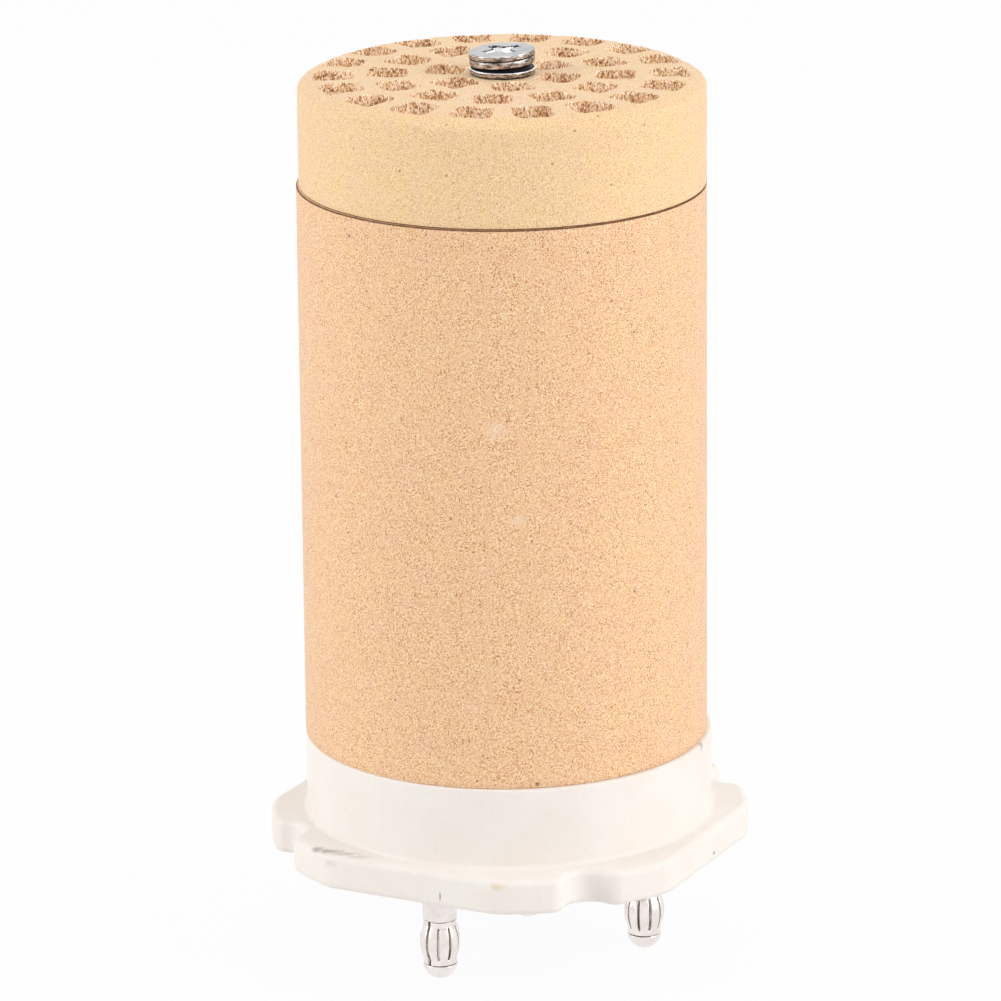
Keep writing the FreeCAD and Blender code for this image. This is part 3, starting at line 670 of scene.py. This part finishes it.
def heater_core():
    shell = Shell()
    side = [(CORE_R, z) for z in np.linspace(CORE_BOTTOM + CORE_EDGE, CORE_TOP - CORE_EDGE, 84)]
    outline = [(CORE_R - CORE_EDGE, CORE_BOTTOM)] + side + [(CORE_R - CORE_EDGE, CORE_TOP)]
    loops = spin(shell, outline, CORE_SEGMENTS, CORE_AXIS, closed=False)
    # The core's top chamfer takes the seam's painted shade.
    shell.mark_bands([len(outline) - 2], CORE_SEGMENTS, 1)
    hole_high = shell.add(circle(TIE_HOLE_R, CORE_TOP, POST_SEGMENTS, CORE_AXIS))
    hole_low = shell.add(circle(TIE_HOLE_R, CORE_BOTTOM, POST_SEGMENTS, CORE_AXIS))
    shell.band(hole_high, hole_low)
    steps = [(HOLE_LIP, CORE_TOP), (0.06, CORE_TOP - 0.06), (0.0, CORE_TOP - HOLE_LIP)]
    steps += [(0.0, z) for z in np.linspace(CORE_TOP - 1.0, CORE_BOTTOM + 1.0, 6)]
    steps += [(0.0, CORE_BOTTOM + HOLE_LIP), (0.06, CORE_BOTTOM + 0.06), (HOLE_LIP, CORE_BOTTOM)]
    holes = channel_loops(shell, steps, CORE_AXIS)
    for hole in holes:
        for high, low in zip(hole, hole[1:]):
            shell.band(high, low)
    shell.fill(loops[-1], [hole[0] for hole in holes] + [hole_high], 0.9)
    shell.fill(loops[0], [hole[-1] for hole in holes] + [hole_low], 0.9, flip=True)
    piece = shell.make("core_body", [core_look, seam_shade_look])

    def roughen(x, y, z, normal):
        if math.hypot(x - CORE_X, y) < CORE_R - 0.5:
            return 0.0
        return 0.03 * grain(x, y, z, 3.2, 2) + 0.02 * grain(x, y, z, 1.1, 4) - 0.01

    shift_along_normals(piece, roughen)
    dress(piece, "heater_core")


# Tie screw, washers and nut

CROSS_WIDTH = 1.2    # wider than the solid's, because the walls slope here
CROSS_TURNS = (30, 120)
PIT_DEPTH = 0.7
WING_END_DEPTH = 0.16
WING_FALL = 0.22    # of a wing's floor towards the middle
SIDE_SLOPE = 2.5
END_SLOPE = 3.0
DARK_DEPTH = 0.17    # painted shade lies at the recess's rim down to this depth, and this far from the ends of the wings
DARK_END = 0.4    # and this far from the ends of the wings
HEAD_DOME = 0.1
HEAD_SEGMENTS = 192
UNDER_BANDS = 5
SIDE_BANDS = 4
SPLIT_SEEN = 0.05    # the split is nearly shut on its outside
RIM_STEP = 0.24    # down from the flat washer's face to its rim
THREAD_PITCH = 0.7
THREAD_DEPTH = 0.42
THREAD_LENGTH = 12.0
THREAD_GAP = 0.05
BARE_SCREW_R = SCREW_R - 0.05


def tilt_up(shell):
    """Tips the shell about the -X end of the flat washer's top face, as the split washer does."""
    pivot = np.array([TIE_X - HEAD_R, 0.0, CAP_TOP + FLAT_WASHER_THICKNESS])
    c, s = polar(1, HEAD_TILT)
    matrix = np.array([(c, 0, -s), (0, 1, 0), (s, 0, c)])
    for k, block in enumerate(shell.blocks):
        shell.blocks[k] = (block - pivot) @ matrix.T + pivot


def cross_depth(x, y):
    """How deep the cross recess is below the head's top: its wings slope down to the middle."""
    depth = np.maximum(0, PIT_DEPTH * (1 - np.hypot(x, y) / CROSS_PIT_R))
    for turn in CROSS_TURNS:
        c, s = polar(1, turn)
        along, across = np.abs(c * x + s * y), np.abs(c * y - s * x)
        to_end = CROSS_LENGTH / 2 - along
        floor = np.minimum(WING_END_DEPTH + WING_FALL * to_end, CROSS_DEPTH)
        walls = np.minimum((CROSS_WIDTH / 2 - across) * SIDE_SLOPE, to_end * END_SLOPE)
        depth = np.maximum(depth, np.clip(np.minimum(walls, floor), 0, CROSS_DEPTH))
    return depth


def thread(shell, low, high, major, minor, pitch, count, centre):
    """A screw thread's flank as stations whose radius follows a helix."""
    turn = np.arange(count) * 2 * math.pi / count
    levels = np.arange(low, high, pitch / 8)
    stations = []
    for z in levels:
        phase = ((z - low) / pitch - turn / (2 * math.pi)) % 1
        wave = np.abs(phase - 0.5) * 2
        radius = minor + (major - minor) * np.clip(wave * 1.5 - 0.25, 0, 1)
        fade = min(1.0, (z - low) / pitch + 0.15, (high - z) / pitch + 0.15)
        stations.append((minor + (radius - minor) * fade, z))
    return spin(shell, stations, count, centre, closed=False)


def tie_screw():
    shell = Shell()
    low = CAP_TOP + FLAT_WASHER_THICKNESS + SPRING_WASHER_THICKNESS
    high = low + HEAD_HEIGHT
    count = HEAD_SEGMENTS
    low_round, high_round = 0.12, 0.16
    stations = [(SCREW_R, low)] + arc(HEAD_R - low_round, low + low_round, low_round, -90, 0, 5)
    stations += arc(HEAD_R - high_round, high - HEAD_DOME - high_round, high_round, 0, 80, 6)
    for radius in np.linspace(HEAD_R - 0.2, 0.06, 54):
        x, y, _ = circle(radius, 0.0, count, (0.0, 0.0)).T
        top = high - HEAD_DOME * (radius / HEAD_R) ** 2
        stations.append((radius, top - cross_depth(x, y)))
    loops = spin(shell, stations, count, TIE_AXIS, closed=False)
    top_start = UNDER_BANDS + SIDE_BANDS
    # The head's underside and its lower rounding take painted shade.
    shell.mark_bands(range(UNDER_BANDS), count, 2)
    shell.mark_bands(range(UNDER_BANDS, top_start), count, 1)
    known = shell.points()
    # Recess faces near its rim and the wings' ends take painted shade, the rest a pale painted highlight.
    for k in range(top_start * count, len(shell.faces)):
        x, y, _ = known[shell.faces[k]].mean(0)
        depth, out = cross_depth(x - TIE_X, y), math.hypot(x - TIE_X, y)
        if depth > 0.015:
            shell.marks[k] = 2 if depth < DARK_DEPTH or out > CROSS_LENGTH / 2 - DARK_END else 3
    # The pit's middle takes the painted highlight.
    shell.fan(loops[-1], (*TIE_AXIS, high - PIT_DEPTH), 3)
    # The middle of the head's underside takes painted shade too.
    shell.fan(loops[0][::-1], (*TIE_AXIS, low), 2)
    tilt_up(shell)
    bottom = NUT_SEAT - NUT_WASHER_THICKNESS - NUT_HEIGHT - SCREW_END
    thread_top = bottom + THREAD_LENGTH
    minor = SCREW_R - THREAD_DEPTH
    loops = thread(shell, bottom + 0.2, thread_top, SCREW_R, minor, THREAD_PITCH, 64, TIE_AXIS)
    shell.fan(loops[0][::-1], (*TIE_AXIS, bottom + 0.05))
    shank = shell.add(circle(BARE_SCREW_R, low + 0.2, 64, TIE_AXIS))
    start = shell.add(circle(BARE_SCREW_R, thread_top + 0.3, 64, TIE_AXIS))
    shell.band(loops[-1], start)
    shell.band(start, shank)
    piece = shell.make("screw_body", [head_look, brushed_look, gap_shade_look, recess_highlight_look])
    dress(piece, "tie_screw")


FACING_QUADS = (1, 2, 3, 11, 12, 13)    # of the spring washer's section, where it faces head and washer; these take painted shade


def spring_washer():
    shell = Shell()
    low = CAP_TOP + FLAT_WASHER_THICKNESS
    inner, outer = SCREW_R + WASHER_GAP, SPRING_WASHER_R
    middle_r, half = (inner + outer) / 2, SPRING_WASHER_THICKNESS / 2
    soft = 0.1
    section = []
    for cr, cz, start in ((outer - soft, half - soft, 0), (inner + soft, half - soft, 90),
                          (inner + soft, -half + soft, 180), (outer - soft, -half + soft, 270)):
        section += arc(cr, cz, soft, start, start + 90, 4)
    section = np.array(section)
    gap = SPLIT_SEEN / middle_r
    rows = []
    for share in np.linspace(0, 1, 97):
        slant = section[:, 1] * math.tan(math.radians(SPLIT_SLANT)) / section[:, 0]
        turn = math.radians(SPLIT_ANGLE) + gap / 2 + share * (2 * math.pi - gap) + slant
        points = np.column_stack([TIE_X + section[:, 0] * np.cos(turn), section[:, 0] * np.sin(turn),
                                  low + half + section[:, 1]])
        rows.append(shell.add(points))
    for here, there in zip(rows, rows[1:]):
        shell.band(there, here)
    for start in range(0, len(shell.faces), len(section)):
        for k in FACING_QUADS:
            shell.marks[start + k] = 1
    shell.face([rows[0].tolist(), rows[-1][::-1].tolist()])
    tilt_up(shell)
    piece = shell.make("split_washer_body", [brushed_look, gap_shade_look])
    dress(piece, "spring_washer")


def flat_washer():
    shell = Shell()
    low, high = CAP_TOP, CAP_TOP + FLAT_WASHER_THICKNESS
    inner = SCREW_R + WASHER_GAP
    rim_high = high - RIM_STEP
    soft, low_round, high_round = 0.08, 0.3, 0.16
    stations = [(inner, high - soft), (inner, low + soft), (inner + soft, low)]
    stations += arc(HEAD_R - 0.34, low + low_round, low_round, -90, -20, 5)
    stations += arc(HEAD_R - high_round, rim_high - high_round, high_round, -20, 90, 6)
    stations += [(HEAD_R - 0.55, rim_high), (HEAD_R - 0.65, high), (inner + soft, high)]
    count = 128
    spin(shell, stations, count, TIE_AXIS)
    # The washer's underside and lower rounding (bands 2 to 6), and its rim's top, the step and the face
    # under the split washer (bands 13 to 15) take painted shade; the rim's upper rounding (bands 10 to 12)
    # takes a painted highlight.
    for bands, mark in ((range(2, 7), 1), (range(10, 13), 2), (range(13, 16), 1)):
        shell.mark_bands(bands, count, mark)
    piece = shell.make("flat_washer_body", [brushed_look, gap_shade_look, rim_highlight_look])
    dress(piece, "flat_washer")


NUT_SEGMENTS = 96
NUT_FACE_SHARE = 0.94
NUT_CHAMFER = 30.0
BORE_CHAMFER = (0.25, 0.3)


def hex_nut(name, node, look, across_flats, bore, low, high, centre):
    """Nut with its corners chamfered at both ends."""
    shell = Shell()
    turn = np.arange(NUT_SEGMENTS) * 2 * math.pi / NUT_SEGMENTS
    side = across_flats / 2 / np.cos((turn + math.pi / 6) % (math.pi / 3) - math.pi / 6)
    face_r = across_flats / 2 * NUT_FACE_SHARE
    drop = (side - face_r) * math.tan(math.radians(NUT_CHAMFER))
    wide, deep = BORE_CHAMFER
    stations = [(bore, high - deep), (bore, low + deep), (bore + wide, low), (face_r, low),
                (side, low + drop), (side, high - drop), (face_r, high), (bore + wide, high)]
    spin(shell, stations, NUT_SEGMENTS, centre)
    piece = shell.make(name, [look], smooth=False)
    dress(piece, node)


# Contact pins

PIN_SEGMENTS = 96
STUD_PITCH = 0.5
STUD_THREAD_DEPTH = 0.3
SLEEVE_MARGIN = 0.07    # between the sleeve's ends and the pin's shoulders
STRIP_ROUND = 0.1
SLOT_END_ROUND = 0.34
BOW_POWER = 0.85    # of the sine that a strip's bow follows
STRIP_FLATNESS = 0.65    # 1 is a flat strip, 0 a strip of the round
END_LIP = 0.06
WELD = 0.0005


def contact_pin(number, place):
    shell = Shell()
    neck_top = PIN_TIP_HEIGHT + SLEEVE_LENGTH
    collar_low = FLOOR_BOTTOM - PIN_COLLAR_HEIGHT
    soft = 0.07
    nose = [(t, (0.55 * t + 0.45 * t ** 3) - 1) for t in np.linspace(0, 1, 9)]
    stations = [(0.4, 0.0)]
    stations += [(PIN_NOSE_R + (PIN_R - PIN_NOSE_R) * r, PIN_NOSE_HEIGHT * (1 + z)) for r, z in nose]
    stations += arc(PIN_R - soft, PIN_TIP_HEIGHT - soft, soft, 0, 90, 4)
    stations += [(PIN_NECK_R, PIN_TIP_HEIGHT), (PIN_NECK_R, neck_top)]
    stations += arc(PIN_R - soft, neck_top + soft, soft, -90, 0, 4)
    stations += [(PIN_R, collar_low - 0.15), (PIN_R + 0.15, collar_low)]
    stations += arc(PIN_COLLAR_R - 0.12, collar_low + 0.12, 0.12, -90, 0, 4)
    stations += arc(PIN_COLLAR_R - 0.06, FLOOR_BOTTOM - 0.06, 0.06, 0, 90, 3)
    stations += [(STUD_R - 0.02, FLOOR_BOTTOM), (STUD_R - 0.02, FLANGE_TOP)]
    neck = stations.index((PIN_NECK_R, PIN_TIP_HEIGHT))
    loops = spin(shell, stations, PIN_SEGMENTS, place, closed=False)
    # The neck, seen through the sleeve's slots, takes the paled brass of painted light.
    shell.mark_bands([neck], PIN_SEGMENTS, 1)
    shell.fan(loops[0][::-1], (*place, 0.0))
    coils = thread(shell, FLANGE_TOP + 0.02, STUD_TOP, STUD_R, STUD_R - STUD_THREAD_DEPTH, STUD_PITCH,
                   PIN_SEGMENTS, place)
    shell.band(loops[-1], coils[0])
    shell.fan(coils[-1], (*place, STUD_TOP - 0.05))
    piece = shell.make("pin_body_%d" % number, [plated_look, neck_painted_light_look])
    dress(piece, "contact_pin_%d" % number)


def contact_sleeve(number, place, angle):
    """Spring sleeve: a ring of bowed strips between two rims, open along one seam."""
    shell = Shell()
    low, high = PIN_TIP_HEIGHT + SLEEVE_MARGIN, PIN_TIP_HEIGHT + SLEEVE_LENGTH - SLEEVE_MARGIN
    slot_low, slot_high = PIN_TIP_HEIGHT + SLEEVE_RIM, PIN_TIP_HEIGHT + SLEEVE_LENGTH - SLEEVE_RIM
    near_end = np.array([0, 0.02, 0.06, 0.12, 0.22, SLOT_END_ROUND])
    levels = np.unique(np.round(np.concatenate([
        low + near_end[:4] * 0.6, [slot_low - 0.3], slot_low + near_end,
        np.linspace(slot_low + 0.4, slot_high - 0.4, 40),
        slot_high - near_end, [slot_high + 0.3], high - near_end[:4] * 0.6]), 5))
    across = np.array([0, 0.012, 0.035, 0.075, 0.14, 0.24, 0.37, 0.5])
    across = np.concatenate([across, 1 - across[-2::-1]])
    pitch = 2 * math.pi / SLOT_COUNT
    round_r = STRIP_ROUND

    def bulge(z):
        share = min(1.0, max(0.0, (z - slot_low) / (slot_high - slot_low)))
        return math.sin(math.pi * share) ** BOW_POWER if 0 < share < 1 else 0.0

    def half_gap(z, whole):
        if whole:
            return SEAM_WIDTH / 2
        reach = min(z - slot_low, slot_high - z)
        if reach <= 0:
            return 0.0
        return SLOT_WIDTH / 2 * math.sqrt(1 - max(0.0, 1 - reach / SLOT_END_ROUND) ** 2)

    for k in range(SLOT_COUNT):
        outer_rows, inner_rows, gaps = [], [], []
        for z in levels:
            bow = bulge(z)
            radius = SLEEVE_RING_R + (SLEEVE_BULGE_R - SLEEVE_RING_R) * bow
            before, after = half_gap(z, k == 0), half_gap(z, k == SLOT_COUNT - 1)
            start = math.radians(angle) + k * pitch + before / radius
            width = pitch - (before + after) / radius
            turn = start + across * width
            centre_off = (across - 0.5) * width
            flat = math.cos(width / 2) / np.cos(centre_off)
            shaped = radius * (1 + STRIP_FLATNESS * bow * (flat - 1)) + 0.02 * bow
            edge = np.minimum(across * width * radius + (0.0 if before else round_r),
                              (1 - across) * width * radius + (0.0 if after else round_r))
            cut = np.clip(1 - edge / round_r, 0, 1)
            rounding = round_r * (1 - np.sqrt(1 - cut ** 2))
            end = min(z - low, high - z)
            lip = END_LIP * max(0.0, 1 - end / END_LIP) ** 2
            outer_r = np.minimum(shaped, SLEEVE_BULGE_R) - rounding - lip
            inner_r = shaped - SLEEVE_WALL + rounding * 0.8
            for rows, radii in ((outer_rows, outer_r), (inner_rows, inner_r)):
                x, y = place[0] + radii * np.cos(turn), place[1] + radii * np.sin(turn)
                rows.append(shell.add(np.column_stack([x, y, np.full(len(turn), z)])))
            gaps.append((before, after))
        outer_rows, inner_rows = np.array(outer_rows), np.array(inner_rows)
        shell.sheet(outer_rows)
        shell.sheet(inner_rows, flip=True)
        shell.sheet([outer_rows[0], inner_rows[0]], flip=True)
        shell.sheet([outer_rows[-1], inner_rows[-1]])
        for side, column in ((0, 0), (1, -1)):
            for j in range(len(levels) - 1):
                if gaps[j][side] > 0 or gaps[j + 1][side] > 0:
                    quad = [outer_rows[j][column], outer_rows[j + 1][column],
                            inner_rows[j + 1][column], inner_rows[j][column]]
                    shell.face([[int(i) for i in quad]])
    piece = shell.make("sleeve_body_%d" % number, [plated_look], merge=WELD)
    dress(piece, "contact_sleeve_%d" % number)


# Heating coils

WIRE_R = 0.3
WOUND_R = 1.5    # to the middle of the wire
WIRE_PITCH = 1.78
POINTS_PER_TURN = 12
COIL_OVERRUN = 1.7    # beyond the core's ends
BRIDGE_LIFT = 0.25    # of the wire that crosses to the next channel
LEAD_DROP = 1.4
LEAD_SHOWN_R = LEAD_R - 0.02
EYE_SWEEP = 2 * math.pi * 0.97


def sweep(shell, path, radius, sides):
    """Round tube along a path, with flat ends."""
    ahead = np.gradient(path, axis=0)
    ahead /= np.linalg.norm(ahead, axis=1)[:, None]
    normal = np.cross(ahead[0], (0.3, 0.5, 0.8))
    turn = np.arange(sides) * 2 * math.pi / sides
    rings = []
    for point, along in zip(path, ahead):
        normal = normal - along * (normal @ along)
        normal /= np.linalg.norm(normal)
        other = np.cross(along, normal)
        rings.append(point + radius * (np.cos(turn)[:, None] * normal + np.sin(turn)[:, None] * other))
    loops = shell.add(np.concatenate(rings)).reshape(len(path), sides)
    for here, there in zip(loops, loops[1:]):
        shell.band(here, there)
    shell.face([loops[0][::-1].tolist(), loops[-1].tolist()])


def soften(path, rounds):
    """Evens out a path's kinks, with its ends fixed."""
    for _ in range(rounds):
        path[1:-1] = path[1:-1] * 0.5 + (path[:-2] + path[2:]) * 0.25
    return path


def circuit(index):
    """Channel centres of one coil, in the winding order of the part's source."""
    (outer, _), (middle, middle_start), (inner, inner_start) = CIRCLES
    if index == 1:
        first = outer * 4 // 9
        places = [(CIRCLE_RS[0], 360 * (first + k) / outer) for k in range(outer)]
    else:
        places = [(CIRCLE_RS[1], middle_start - 360 / middle * (k + 1)) for k in range(middle)]
        places += [(CIRCLE_RS[2], inner_start - 360 / inner * k) for k in range(inner)]
    return [np.array(CORE_AXIS) + polar(r, a) for r, a in places]


def heating_coil(index, first_pin, first_level, last_pin, last_level):
    shell = Shell()
    centres = circuit(index)
    low, high = CORE_BOTTOM - COIL_OVERRUN, CORE_TOP + COIL_OVERRUN
    stops = [np.array(first_pin)] + centres + [np.array(last_pin)]
    pieces = []
    for k, centre in enumerate(centres):
        back, on = stops[k] - centre, stops[k + 2] - centre
        start = math.atan2(back[1], back[0])
        end = math.atan2(on[1], on[0])
        turns = round((high - low) / WIRE_PITCH) + ((end - start) / (2 * math.pi)) % 1
        share = np.linspace(0, 1, int(turns * POINTS_PER_TURN) + 1)
        turn = start + share * turns * 2 * math.pi
        z = low + share * (high - low) if k % 2 == 0 else high - share * (high - low)
        x, y = centre[0] + WOUND_R * np.cos(turn), centre[1] + WOUND_R * np.sin(turn)
        pieces.append(np.column_stack([x, y, z]))
    path = [pieces[0]]
    for k, following in enumerate(pieces[1:]):
        here, there = path[-1][-1], following[0]
        lift = BRIDGE_LIFT if k % 2 == 0 else -BRIDGE_LIFT
        share = np.linspace(0, 1, 7)[1:-1, None]
        span = here * (1 - share) + there * share
        span[:, 2] += lift * np.sin(math.pi * share[:, 0])
        joint = soften(np.concatenate([path[-1][-3:], span, following[:3]]), 2)
        path[-1] = path[-1][:-3]
        path.append(joint)
        path.append(following[3:])
    whole = np.concatenate(path)
    sweep(shell, whole, WIRE_R, 6)
    ring = (EYE_R + STUD_R + STUD_CLEARANCE) / 2
    for channel, pin, level, tip in ((centres[0], first_pin, first_level, whole[0]),
                                     (centres[-1], last_pin, last_level, whole[-1])):
        z = EYE_BOTTOM + (2 * level + 1) * LEAD_R
        pin = np.array(pin)
        towards = (pin - channel) / np.linalg.norm(pin - channel)
        aside = np.array([-towards[1], towards[0]])
        drop = [(*tip[:2], z + h) for h in np.linspace(tip[2] - z, LEAD_DROP, 5)]
        run_end = pin - towards * ring
        run = [(*(tip[:2] * (1 - s) + run_end * s), z) for s in np.linspace(0.06, 0.94, 9)]
        eye = [(*(pin + ring * (-towards * math.cos(t) + aside * math.sin(t))), z)
               for t in np.linspace(0, EYE_SWEEP, 36)]
        sweep(shell, soften(np.array(drop + run + eye), 3), LEAD_SHOWN_R, 10)
    piece = shell.make("coil_body_%d" % index, [wire_look])
    dress(piece, "heating_coil_%d" % index)


# The whole part

def pin_place(number):
    return polar(*PIN_PLACES[number][:2])


def coat(node, look):
    """Gives a node that keeps its own mesh its material."""
    for slot in nodes[node].material_slots:
        slot.material = look


end_cap()
heater_core()
tie_screw()
spring_washer()
flat_washer()
nut_top = NUT_SEAT - NUT_WASHER_THICKNESS
hex_nut("tie_nut_body", "tie_nut", steel_look, NUT_ACROSS_FLATS, SCREW_R + THREAD_GAP,
        nut_top - NUT_HEIGHT, nut_top, TIE_AXIS)
heating_coil(1, pin_place(2), 0, pin_place(0), 0)
heating_coil(2, pin_place(1), 0, pin_place(2), 1)
for number, (_, angle, eyes) in enumerate(PIN_PLACES):
    place = pin_place(number)
    contact_pin(number + 1, place)
    contact_sleeve(number + 1, place, angle)
    eye_top = EYE_BOTTOM + eyes * 2 * LEAD_R
    hex_nut("pin_nut_body_%d" % (number + 1), "pin_nut_%d" % (number + 1), brass_look,
            PIN_NUT_ACROSS_FLATS, STUD_R + THREAD_GAP, eye_top, eye_top + PIN_NUT_HEIGHT, place)
    coat("pin_washer_%d" % (number + 1), steel_look)
coat("terminal_base", white_look)
coat("tie_nut_washer", steel_look)


# Camera, floor and light. The camera stands where the photo's stood.

CAMERA_AT = (-2.2065, -719.283, 268.192)
CAMERA_PITCH = 16.5173
CAMERA_YAW = 0.11715
CAMERA_ROLL = -0.5517
FOCAL_PIXELS = 6465.07
IMAGE_SIDE = 1001
SENSOR_WIDTH = 36.0
AMBIENT = 0.6    # of the white world, as the part is lit by it
FLOOR_GLOW = 0.95    # how far the floor that the camera sees is plain white
FLOOR_REACH = 6    # in metres
FLOOR_GREY = 0.86

scene = bpy.context.scene
pitch, yaw, roll = (math.radians(a) for a in (CAMERA_PITCH, CAMERA_YAW, CAMERA_ROLL))
ahead = Vector((math.sin(yaw) * math.cos(pitch), math.cos(yaw) * math.cos(pitch), -math.sin(pitch)))
right = Vector((math.cos(yaw), -math.sin(yaw), 0.0))
up = right.cross(ahead)
rolled_right = right * math.cos(roll) + up * math.sin(roll)
rolled_up = up * math.cos(roll) - right * math.sin(roll)
camera_data = bpy.data.cameras.new("camera")
camera_data.sensor_width = SENSOR_WIDTH
camera_data.lens = FOCAL_PIXELS * SENSOR_WIDTH / IMAGE_SIDE
camera = bpy.data.objects.new("camera", camera_data)
axes = Matrix((rolled_right, rolled_up, -ahead)).transposed().to_4x4()
camera.matrix_world = Matrix.Translation(Vector(CAMERA_AT) * MM) @ axes
scene.collection.objects.link(camera)
scene.camera = camera


def soft_lamp(name, at, aim, width, height, power):
    data = bpy.data.lights.new(name, "AREA")
    data.shape = "RECTANGLE"
    data.size, data.size_y = width, height
    data.energy = power
    lamp = bpy.data.objects.new(name, data)
    lamp.location = at
    lamp.rotation_euler = (Vector(aim) - Vector(at)).to_track_quat("-Z", "Y").to_euler()
    scene.collection.objects.link(lamp)


def seen_directly(tree):
    """1 for rays from the camera, from gloss or through glass."""
    path = tree.nodes.new("ShaderNodeLightPath")
    total = path.outputs["Is Camera Ray"]
    for name in ("Is Glossy Ray", "Is Transmission Ray"):
        most = tree.nodes.new("ShaderNodeMath")
        most.operation = "MAXIMUM"
        tree.links.new(total, most.inputs[0])
        tree.links.new(path.outputs[name], most.inputs[1])
        total = most.outputs[0]
    return total


def blend(tree, factor, first, second):
    """A mix of two shaders."""
    made = tree.nodes.new("ShaderNodeMixShader")
    if isinstance(factor, float):
        made.inputs[0].default_value = factor
    else:
        tree.links.new(factor, made.inputs[0])
    tree.links.new(first.outputs[0], made.inputs[1])
    tree.links.new(second.outputs[0], made.inputs[2])
    return made


world = bpy.data.worlds.new("world")
scene.world = world
world.use_nodes = True
tree = world.node_tree
tree.nodes.clear()
shown, ambient = tree.nodes.new("ShaderNodeBackground"), tree.nodes.new("ShaderNodeBackground")
shown.inputs["Color"].default_value = (1, 1, 1, 1)
ambient.inputs["Color"].default_value = (1, 1, 1, 1)
ambient.inputs["Strength"].default_value = AMBIENT
chosen = blend(tree, seen_directly(tree), ambient, shown)
world_out = tree.nodes.new("ShaderNodeOutputWorld")
tree.links.new(chosen.outputs[0], world_out.inputs["Surface"])

floor_look = bpy.data.materials.new("floor")
floor_look.use_nodes = True
tree = floor_look.node_tree
tree.nodes.clear()
paper = tree.nodes.new("ShaderNodeBsdfDiffuse")
paper.inputs["Color"].default_value = (FLOOR_GREY, FLOOR_GREY, FLOOR_GREY, 1)
glow = tree.nodes.new("ShaderNodeEmission")
chosen = blend(tree, seen_directly(tree), paper, blend(tree, FLOOR_GLOW, paper, glow))
floor_out = tree.nodes.new("ShaderNodeOutputMaterial")
tree.links.new(chosen.outputs[0], floor_out.inputs["Surface"])
floor_mesh = bpy.data.meshes.new("floor")
corners = [(x * FLOOR_REACH, y * FLOOR_REACH, 0) for x, y in ((-1, -1), (1, -1), (1, 1), (-1, 1))]
floor_mesh.from_pydata(corners, [], [(0, 1, 2, 3)])
floor_mesh.materials.append(floor_look)
floor = bpy.data.objects.new("floor", floor_mesh)
scene.collection.objects.link(floor)

soft_lamp("key", (0.78, -0.36, 0.42), (0, 0, 0.06), 0.55, 0.8, 4.15)
soft_lamp("fill", (-0.85, -0.18, 0.3), (0, 0, 0.06), 0.5, 0.7, 3.3)
soft_lamp("top", (0.05, 0.1, 0.9), (0, 0, 0.08), 0.7, 0.7, 1.3)

scene.view_settings.view_transform = "Standard"
